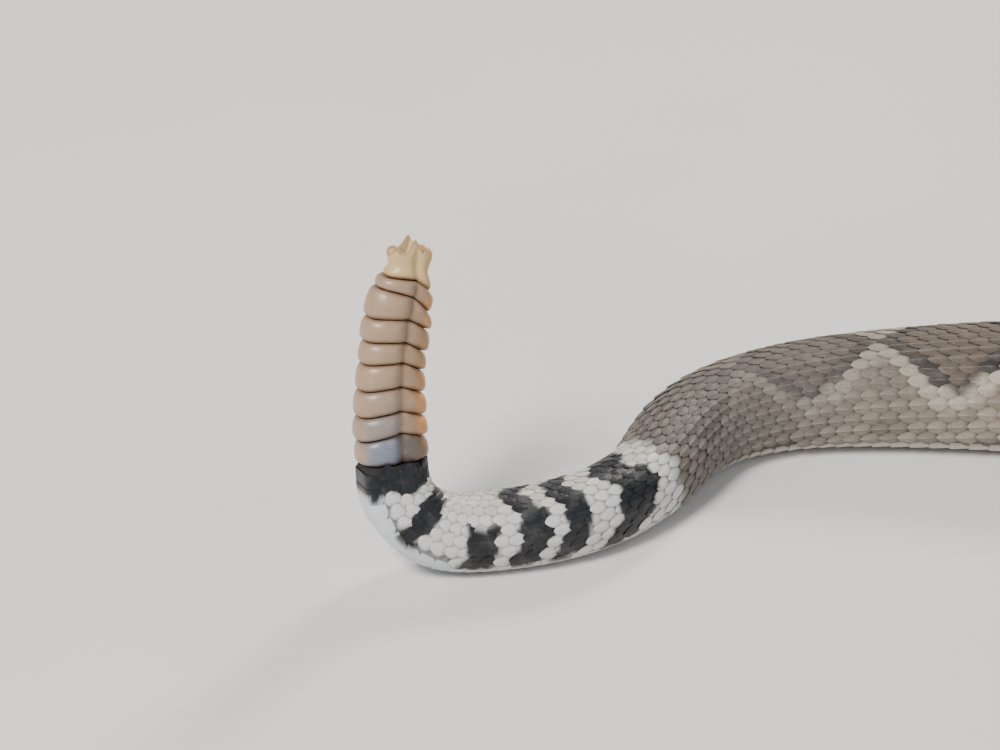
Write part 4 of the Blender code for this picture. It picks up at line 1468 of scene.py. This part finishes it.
def belly_plates(name, start, end, profile, thick):
    """Wide plates across the belly, each with a free edge towards the tail."""
    table = np.array(ROWS)
    points, faces, leaf, cells, at_list, share_list = [], [], [], [], [], []
    at = 0.0016
    while at < end:
        pitch = float(np.interp(at, table[:, 0], table[:, 2])) * MM
        if at >= start:
            edge = along_stations(EDGE, [at])[0]
            first = edge * BELLY_REACH
            sides = np.linspace(-(1.0 - first), 1.0 - first, BELLY_STEPS)
            shares = np.where(sides < 0, sides + 1.0, sides - 1.0)
            shares[np.abs(sides) < 1e-9] = 1.0
            base = len(points)
            for v, sunk in profile:
                where = np.full(BELLY_STEPS, at + v * pitch)
                spots, normal = sample(OUTER, where, shares), sample(NORMAL, where, shares)
                ends = eased((np.abs(sides) / (1.0 - first) - 0.72) / 0.28)
                spots = spots - normal * ((sunk + 0.34 * ends) * MM)[:, None]
                points += spots.tolist()
                points += (spots - normal * thick * MM).tolist()
                for side in np.tile(sides / (1.0 - first), 2):
                    leaf.append((side * 0.55, 1.0 - 0.75 * min(v, 1.0), 0.0))
                at_list += [at + v * pitch] * (2 * BELLY_STEPS)
                share_list += shares.tolist() * 2
                cells += [(at + v * 0.6 * pitch, s) for s in sides.tolist() * 2]
            n = BELLY_STEPS
            for row in range(3):
                for j in range(n - 1):
                    a = base + row * 2 * n + j
                    b = a + 2 * n
                    faces.append((a, a + 1, b + 1, b))
                    faces.append((a + n, b + n, b + n + 1, a + n + 1))
                a, b = base + row * 2 * n, base + (row + 1) * 2 * n
                faces.append((a, b, b + n, a + n))
                faces.append((a + n - 1, a + 2 * n - 1, b + 2 * n - 1, b + n - 1))
            for j in range(n - 1):
                a, b = base + j, base + 6 * n + j
                faces.append((a, a + n, a + n + 1, a + 1))
                faces.append((b, b + 1, b + n + 1, b + n))
        at += pitch
    points = np.array(points)
    points[:, 2] = np.maximum(points[:, 2], 0.0)
    mesh = mesh_of(name, points, faces, [BELLY_HORN])
    face_outwards(mesh)
    jitter = np.repeat(rng.uniform(-0.5, 0.5, len(points) // (8 * BELLY_STEPS)), 8 * BELLY_STEPS)
    paint(mesh, tint(np.array(at_list), np.array(share_list), jitter))
    set_leaf(mesh, leaf)
    cells = np.array(cells)
    spread = np.ptp(cells, axis=0)
    cells = 0.02 + 0.95 * (cells - cells.min(axis=0)) / spread
    set_map(mesh, cells)
    mesh.set_sharp_from_angle(angle=math.radians(50.0))
    made = link(name, mesh)
    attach(made, "root")
    print(name, len(faces), "faces")
    return made


belly_plates("tail_belly_plates", 0.0, 0.080, TAIL_BELLY, 0.15)
belly_plates("belly_plates", 0.080, LAST_BELLY, BODY_BELLY, 0.28)

# %% [markdown]
# ## The rattle
# Each new segment of horn forms under the last, so a rattle is a stack of bands, each
# pinched into two lobes by a groove down its sides. The bands are swept ring by ring from
# the same sizes as the solids, only with many more rings, so their lobes swell and their
# rims roll in.

# %% Horn
def rattle_finish():
    board, close = finish(
        "rattle_horn",
        Coat_Weight=0.12,
        Coat_Roughness=0.25,
        Subsurface_Weight=0.12,
        Subsurface_Scale=0.002,
    )
    band, depth, _ = board.axes(board.read("leaf", "Vector"))
    colour = board.read("tint")
    streaks = board.noise(420.0, 5.0, 0.65)
    # Painted shade along the seams, where each band meets the next
    rim = (1.0 - band.between(0.02, 0.20)) + band.between(0.86, 1.0)
    colour = board.blend(rim * 0.55, colour, (0.16, 0.085, 0.040))
    colour = board.blend(streaks.between(0.5, 0.8) * 0.22, colour, (0.70, 0.55, 0.36))
    stains = board.noise(1600.0, 3.0).between(0.6, 0.75)
    colour = board.blend(stains * 0.25, colour, (0.22, 0.13, 0.07))
    # Painted glow: orange light seen through the horn at the back edge of each band
    colour = board.blend(depth.between(0.80, 1.0) * 0.30, colour, (0.80, 0.36, 0.10))
    height = board.noise(260.0, 4.0) + board.noise(2400.0, 2.0) * 0.25
    return close(
        Base_Color=colour,
        Roughness=0.30 + streaks * 0.18 + rim * 0.15,
        Normal=board.bump(height, 0.0003, 0.35),
    )


RATTLE_HORN = rattle_finish()
# Height, depth from belly side to back, the stack's turn towards the back at the foot, and
# the slope of the foot's rim, in millimetres and degrees
RATTLE = (
    (5.5, 17.5, -2.0, 2.0),
    (5.4, 17.8, 2.0, 1.8),
    (5.9, 17.4, 2.6, 2.4),
    (5.9, 16.7, 2.5, 3.5),
    (5.0, 16.4, 2.8, 5.6),
    (5.5, 16.9, 2.4, 7.4),
    (5.6, 16.9, 3.3, 5.8),
    (3.7, 15.0, 9.6, 11.0),
)
RATTLE_TIP = (7.0, 12.0, -15.0, 20.0)
RATTLE_FLATNESS = 0.62
RATTLE_GROOVE = 0.19
RATTLE_CREASE = 0.05
RATTLE_GROOVE_PLACE = 0.13
RATTLE_BOW = 1.8
RATTLE_SIDES = 112
RATTLE_GAP = 0.20
BAND_PROFILE = (
    (0.0, 0.74),
    (0.0, 0.84),
    (0.03, 0.91),
    (0.09, 0.965),
    (0.20, 0.995),
    (0.40, 1.0),
    (0.60, 0.99),
    (0.78, 0.965),
    (0.90, 0.925),
    (0.97, 0.87),
    (1.0, 0.80),
    (1.0, 0.72),
)
TIP_PROFILE = (
    (0.0, 0.76),
    (0.02, 0.88),
    (0.07, 0.96),
    (0.16, 1.0),
    (0.28, 0.96),
    (0.42, 0.86),
    (0.56, 0.80),
    (0.70, 0.82),
    (0.84, 0.90),
    (0.93, 0.90),
    (0.98, 0.80),
    (1.0, 0.66),
)
PRONGS = ((-0.72, 0.55), (0.05, 1.0), (0.74, 0.6))
PRONG_HEIGHT = 3.6
PRONG_ROOT = 1.6  # how deep a horn stands in the tip
PRONG_SPREAD = 0.70  # of half the tip's depth
PRONG_LEAN = 38.0
PRONG_SIDES = 14
PRONG_PROFILE = ((0.0, 1.7), (0.35, 1.3), (0.65, 0.9), (0.88, 0.65), (0.97, 0.4))
TAN = (0.362, 0.246, 0.158)
# Painted glow: orange light seen through the horn at the back
PAINTED_GLOW_COLOUR = (0.70, 0.31, 0.085)
# Painted sheen: a blue-grey reflection on the front of the youngest bands
PAINTED_SHEEN_BLUE = (0.160, 0.190, 0.245)
BASAL_GREY = (0.088, 0.074, 0.062)
CREAM = (0.60, 0.42, 0.19)
# Strength of the painted glow on each band
PAINTED_GLOW_BY_BAND = (0.30, 0.90, 0.80, 0.45, 0.30, 0.30, 0.65, 0.80, 0.30)
# Strength of the painted sheen on the youngest bands
PAINTED_SHEEN_BY_BAND = (0.96, 0.48, 0.15)


def rattle_frames():
    """Each band's frame: +Z to the rattle's tip, +Y to the back, in millimetres."""
    origin, ahead, to_left, to_back = (Vector(v[0]) for v in line_at(np.array([0.0])))
    turn = Matrix((-to_left, to_back, -ahead)).transposed().to_4x4()
    place = Matrix.Translation(origin) @ turn @ Matrix.Scale(MM, 4)
    frames = []
    for height, _, bend, _ in (*RATTLE, RATTLE_TIP):
        place = place @ Matrix.Rotation(-math.radians(bend), 4, "X")
        frames.append(place)
        place = place @ Matrix.Translation((0.0, 0.0, height))
    return frames


def ring_of(depth, shrink, arch, place, swell, peaks=0.0):
    """One ring of a band; swell rounds its lobes, peaks raises the broken tip's crown."""
    points = []
    for i in range(RATTLE_SIDES):
        a = math.tau * i / RATTLE_SIDES
        lobe = math.copysign(abs(math.cos(a)) ** 0.80, math.cos(a))
        flank = math.copysign(abs(math.sin(a)) ** 0.80, math.sin(a))
        off = lobe - RATTLE_GROOVE_PLACE
        groove = 1.0 - RATTLE_GROOVE * math.exp(-((off / 0.20) ** 2))
        groove -= RATTLE_CREASE * math.exp(-((off / 0.045) ** 2))
        share = abs(off / (1.0 - math.copysign(RATTLE_GROOVE_PLACE, off)))
        full = 1.0 + swell * math.sin(math.pi * min(share, 1.0)) ** 0.8
        across = depth / 2 * RATTLE_FLATNESS * shrink * flank * groove * full
        rise = arch * (1.0 - share**1.6)
        for middle, tall in PRONGS if peaks else ():
            rise += peaks * tall * math.exp(-(((lobe - 1.15 * middle) / 0.20) ** 2))
        points.append(place @ Vector((across, depth / 2 * shrink * lobe, rise)))
    return points


def prong(frame_of_tip, across, tall):
    """A worn horn of the broken tip: rings of a cone that leans outwards."""
    height, depth, _, _ = RATTLE_TIP
    lean = Matrix.Rotation(-math.radians(PRONG_LEAN) * across, 4, "X")
    at = Matrix.Translation((0.0, across * depth / 2 * PRONG_SPREAD, height - PRONG_ROOT))
    place = frame_of_tip @ at @ lean
    rise = PRONG_HEIGHT * tall + PRONG_ROOT
    n, last = PRONG_SIDES, len(PRONG_PROFILE) - 1
    points, faces = [], []
    for share, size in PRONG_PROFILE:
        for i in range(n):
            a = math.tau * i / n
            spot = Vector((0.8 * size * math.cos(a), size * math.sin(a), rise * share))
            points.append(place @ spot)
    for row in range(last):
        a, b = row * n, (row + 1) * n
        for i in range(n):
            j = (i + 1) % n
            faces.append((a + i, a + j, b + j, b + i))
    faces.append(tuple(range(n)))
    faces.append(tuple(range(last * n, (last + 1) * n)))
    return points, faces


def band_colour(index, points, place):
    """Tan horn; the youngest band is blue grey in front from a painted sheen, the low bands get a
    painted orange glow at the back, and the back lobes and the groove get painted shade.
    """
    local = np.array([list(place.inverted() @ p) for p in points])
    depth = (*RATTLE, RATTLE_TIP)[index][1]
    lobe = local[:, 1] / (depth / 2)
    base = np.tile(np.array(CREAM if index == len(RATTLE) else TAN), (len(points), 1))
    base = base * (0.93 + 0.12 * rng.random())
    if index < len(RATTLE):
        # Painted shade: the back lobe is darker
        base = mix(base, base * np.array([0.74, 0.70, 0.66]), eased((lobe - 0.05) / 0.12))
        # Painted shade in the groove between the lobes
        crease = np.exp(-(((lobe - RATTLE_GROOVE_PLACE) / 0.055) ** 2))
        base = mix(base, base * 0.68, crease)
    # Painted glow: orange light through the horn at the back, band by band
    lit = eased((lobe - 0.40) / 0.32) * PAINTED_GLOW_BY_BAND[index]
    base = mix(base, np.array(PAINTED_GLOW_COLOUR), lit)
    # Painted sheen: a blue-grey reflection on the front lobe
    if index < len(PAINTED_SHEEN_BY_BAND):
        front = eased(1.9 * (1.0 - np.abs(lobe + 0.38) / 0.66)) * PAINTED_SHEEN_BY_BAND[index]
        base = mix(base, np.array(PAINTED_SHEEN_BLUE), front)
    if index == 0:
        base = mix(base, np.array(BASAL_GREY), 0.92 * eased((lobe + 0.06) / 0.14) * (1 - lit))
    return np.hstack([base, np.ones((len(points), 1))])


def band_mesh(index, place, top_slope):
    """A closed band of horn with its colour and its own map of height and depth."""
    height, depth, _, slope = (*RATTLE, RATTLE_TIP)[index]
    tip = index == len(RATTLE)
    points, leaf, faces = [], [], []
    profile = TIP_PROFILE if tip else BAND_PROFILE
    for share, shrink in profile:
        rise = Matrix.Translation((0.0, 0.0, RATTLE_GAP + share * (height - RATTLE_GAP)))
        tilt = -math.radians(slope + share * (top_slope - slope))
        level = place @ rise @ Matrix.Rotation(tilt, 4, "X")
        arch = RATTLE_BOW * (share if index == 0 else 1.0)
        swell = 0.13 * math.sin(math.pi * share)
        peaks = 2.6 * eased((share - 0.62) / 0.38) if tip else 0.0
        points += ring_of(depth, shrink, arch, level, swell, peaks)
        for i in range(RATTLE_SIDES):
            leaf.append((share, 0.5 + 0.5 * math.cos(math.tau * i / RATTLE_SIDES), 0.0))
    n = RATTLE_SIDES
    for row in range(len(profile) - 1):
        for i in range(n):
            j = (i + 1) % n
            a, b = row * n, (row + 1) * n
            faces.append((a + i, a + j, b + j, b + i))
    for row in (0, len(profile) - 1):
        middle = len(points)
        ring = points[row * n : (row + 1) * n]
        hollow = Vector((0.0, 0.0, -2.4 if tip and row else 0.0))
        points.append(sum(ring, Vector()) / n + place.to_3x3() @ hollow)
        leaf.append((profile[row][0], 0.5, 0.0))
        for i in range(n):
            j = (i + 1) % n
            faces.append((row * n + j, row * n + i, middle))
    for across, tall in PRONGS if tip else ():
        horn, horn_faces = prong(place, across, tall)
        faces += [tuple(len(points) + k for k in face) for face in horn_faces]
        points += horn
        leaf += [(0.6, 0.5, 0.0)] * len(horn)
    flat = np.array([list(p) for p in points])
    mesh = mesh_of(f"rattle_band_{index + 1}", flat, faces, [RATTLE_HORN])
    face_outwards(mesh)
    set_leaf(mesh, leaf)
    paint(mesh, band_colour(index, points, place))
    return mesh


frames = rattle_frames()
top_slopes = [bend + slope for _, _, bend, slope in (*RATTLE[1:], RATTLE_TIP)] + [0.0]
for index, place_of_band in enumerate(frames):
    band = link(f"rattle_band_{index + 1}", band_mesh(index, place_of_band, top_slopes[index]))
    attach(band, "root")
    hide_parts(f"rattle_segment_{index + 1}")
print("rattle tip at", (frames[-1] @ Vector((0, 0, RATTLE_TIP[0]))).to_tuple(4))

# %% [markdown]
# ## The eyes
# A pit viper's eye is a polished ball with an upright slit, under a brow shield that
# gives it its stern look. The slit and the flecked iris come from the eye's own map,
# so that both eyes look out sideways and a little forwards.


# %% Make the eyes
def eye_finish():
    board, close = finish("slit_eye", Coat_Weight=1.0, Coat_Roughness=0.03, IOR=1.45)
    up, ahead, out = board.axes(board.read("leaf", "Vector"))
    radius = (up * up + ahead * ahead) ** 0.5
    slit = 1.0 - (abs(ahead) / (0.02 + 0.20 * (1.0 - (up * 1.35) ** 2.0))).between(0.75, 1.0)
    flecks = board.noise(2600.0, 4.0, 0.7)
    iris = board.blend(flecks.between(0.35, 0.65), (0.17, 0.125, 0.07), (0.36, 0.30, 0.19))
    iris = board.blend(radius.between(0.62, 0.86), iris, (0.035, 0.028, 0.02))
    colour = board.blend(slit, iris, (0.002, 0.002, 0.002))
    return close(Base_Color=colour, Roughness=0.12 + flecks * 0.12)


EYE = eye_finish()
for side, name in ((1, "eye_left"), (-1, "eye_right")):
    shell = bmesh.new()
    bmesh.ops.create_uvsphere(shell, u_segments=48, v_segments=32, radius=1.0)
    mesh = bpy.data.meshes.new(f"{name}_ball")
    shell.to_mesh(mesh)
    shell.free()
    ball = np.array([v.co for v in mesh.vertices])
    gaze = side * nape[2] * 0.97 + nape[1] * 0.24
    gaze /= np.linalg.norm(gaze)
    ahead = np.cross(nape[3], gaze) * -side
    ahead /= np.linalg.norm(ahead)
    above = np.cross(gaze, ahead) * -side
    basis = np.stack([above, ahead, gaze])
    placed = head_spot(EYE_PLACE, side) + (ball @ basis) * EYE_RADIUS * MM
    mesh.vertices.foreach_set("co", placed.astype(np.float32).ravel())
    mesh.update()
    face_outwards(mesh)
    mesh.shade_smooth()
    mesh.materials.append(EYE)
    set_leaf(mesh, ball)
    eye = link(f"{name}_ball", mesh)
    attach(eye, "root")
    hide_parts(name)
print("eyes at", [head_spot(EYE_PLACE, side).round(4).tolist() for side in (1, -1)])

# %% Put the model plates away
for plate in PLATES.values():
    bpy.data.objects.remove(plate)

# %% [markdown]
# ## Floor, light and camera
# The stage is a pale floor under soft studio light. The camera stands well back with a
# long lens and looks down at 32 degrees, so that the raised tail fills the left of the
# picture while the coil lies out of it to the right.

# %% Floor
board, close = finish("pale_floor")
clouds = board.noise(9.0, 4.0).between(0.3, 0.7)
floor_tone = board.blend(clouds, (0.70, 0.69, 0.67), (0.73, 0.72, 0.70))
FLOOR = close(Base_Color=floor_tone, Roughness=0.75 + board.noise(40.0) * 0.1)
FLOOR_HALF = 8.0
corners = np.array([(-1, -1, 0), (1, -1, 0), (1, 1, 0), (-1, 1, 0)]) * FLOOR_HALF
floor = link("studio_floor", mesh_of("studio_floor", corners, [(0, 1, 2, 3)], [FLOOR], False))

# %% Light
world = bpy.data.worlds.new("studio_air")
bpy.context.scene.world = world
world.use_nodes = True
air = world.node_tree.nodes["Background"]
air.inputs["Color"].default_value = (0.86, 0.90, 1.0, 1.0)
air.inputs["Strength"].default_value = 0.42


def area_light(name, position, target, size, power, colour):
    lamp = bpy.data.lights.new(name, "AREA")
    lamp.shape = "DISK"
    lamp.size, lamp.energy, lamp.color = size, power, colour
    made = bpy.data.objects.new(name, lamp)
    bpy.context.scene.collection.objects.link(made)
    made.location = position
    made.rotation_euler = (Vector(target) - Vector(position)).to_track_quat("-Z", "Y").to_euler()


area_light("window", (-1.1, -1.1, 1.7), (-0.1, -0.1, 0.0), 0.7, 62.0, (1.0, 0.97, 0.92))
area_light("rim", (0.7, 1.5, 1.2), (-0.15, -0.05, 0.0), 0.5, 34.0, (1.0, 0.93, 0.84))
area_light("fill", (1.5, -1.4, 1.1), (0.0, 0.0, 0.0), 1.6, 8.0, (0.88, 0.94, 1.0))

# %% Camera
ELEVATION = math.radians(32.0)
DISTANCE = 1.70
PIXEL = 0.000233  # metres across one pixel at the tail
FRAME_SIZE = (1000, 750)
SENSOR = 36.0
AIM_FROM_TAIL = (-0.01078, -0.00493)  # from where the tail lifts off the floor
AIM = Vector((AIM_FROM_TAIL[0] - PLAN_CENTRE[0], AIM_FROM_TAIL[1] - PLAN_CENTRE[1], 0.0))
AIM_PIXEL = (474, 569)
ahead = Vector((0.0, math.cos(ELEVATION), -math.sin(ELEVATION)))
above = Vector((0.0, math.sin(ELEVATION), math.cos(ELEVATION)))
aside = Vector((1.0, 0.0, 0.0))
across_by = (AIM_PIXEL[0] - FRAME_SIZE[0] / 2) * PIXEL
down_by = (AIM_PIXEL[1] - FRAME_SIZE[1] / 2) * PIXEL
lens = bpy.data.cameras.new("long_lens")
lens.sensor_width = SENSOR
lens.lens = DISTANCE / (PIXEL * FRAME_SIZE[0]) * SENSOR
lens.clip_start, lens.clip_end = 0.05, 50.0
camera = bpy.data.objects.new("long_lens", lens)
bpy.context.scene.collection.objects.link(camera)
camera.location = AIM - ahead * DISTANCE - aside * across_by + above * down_by
camera.rotation_euler = ahead.to_track_quat("-Z", "Y").to_euler()
bpy.context.scene.camera = camera
print("lens", round(lens.lens, 1), "mm at", camera.location.to_tuple(3))
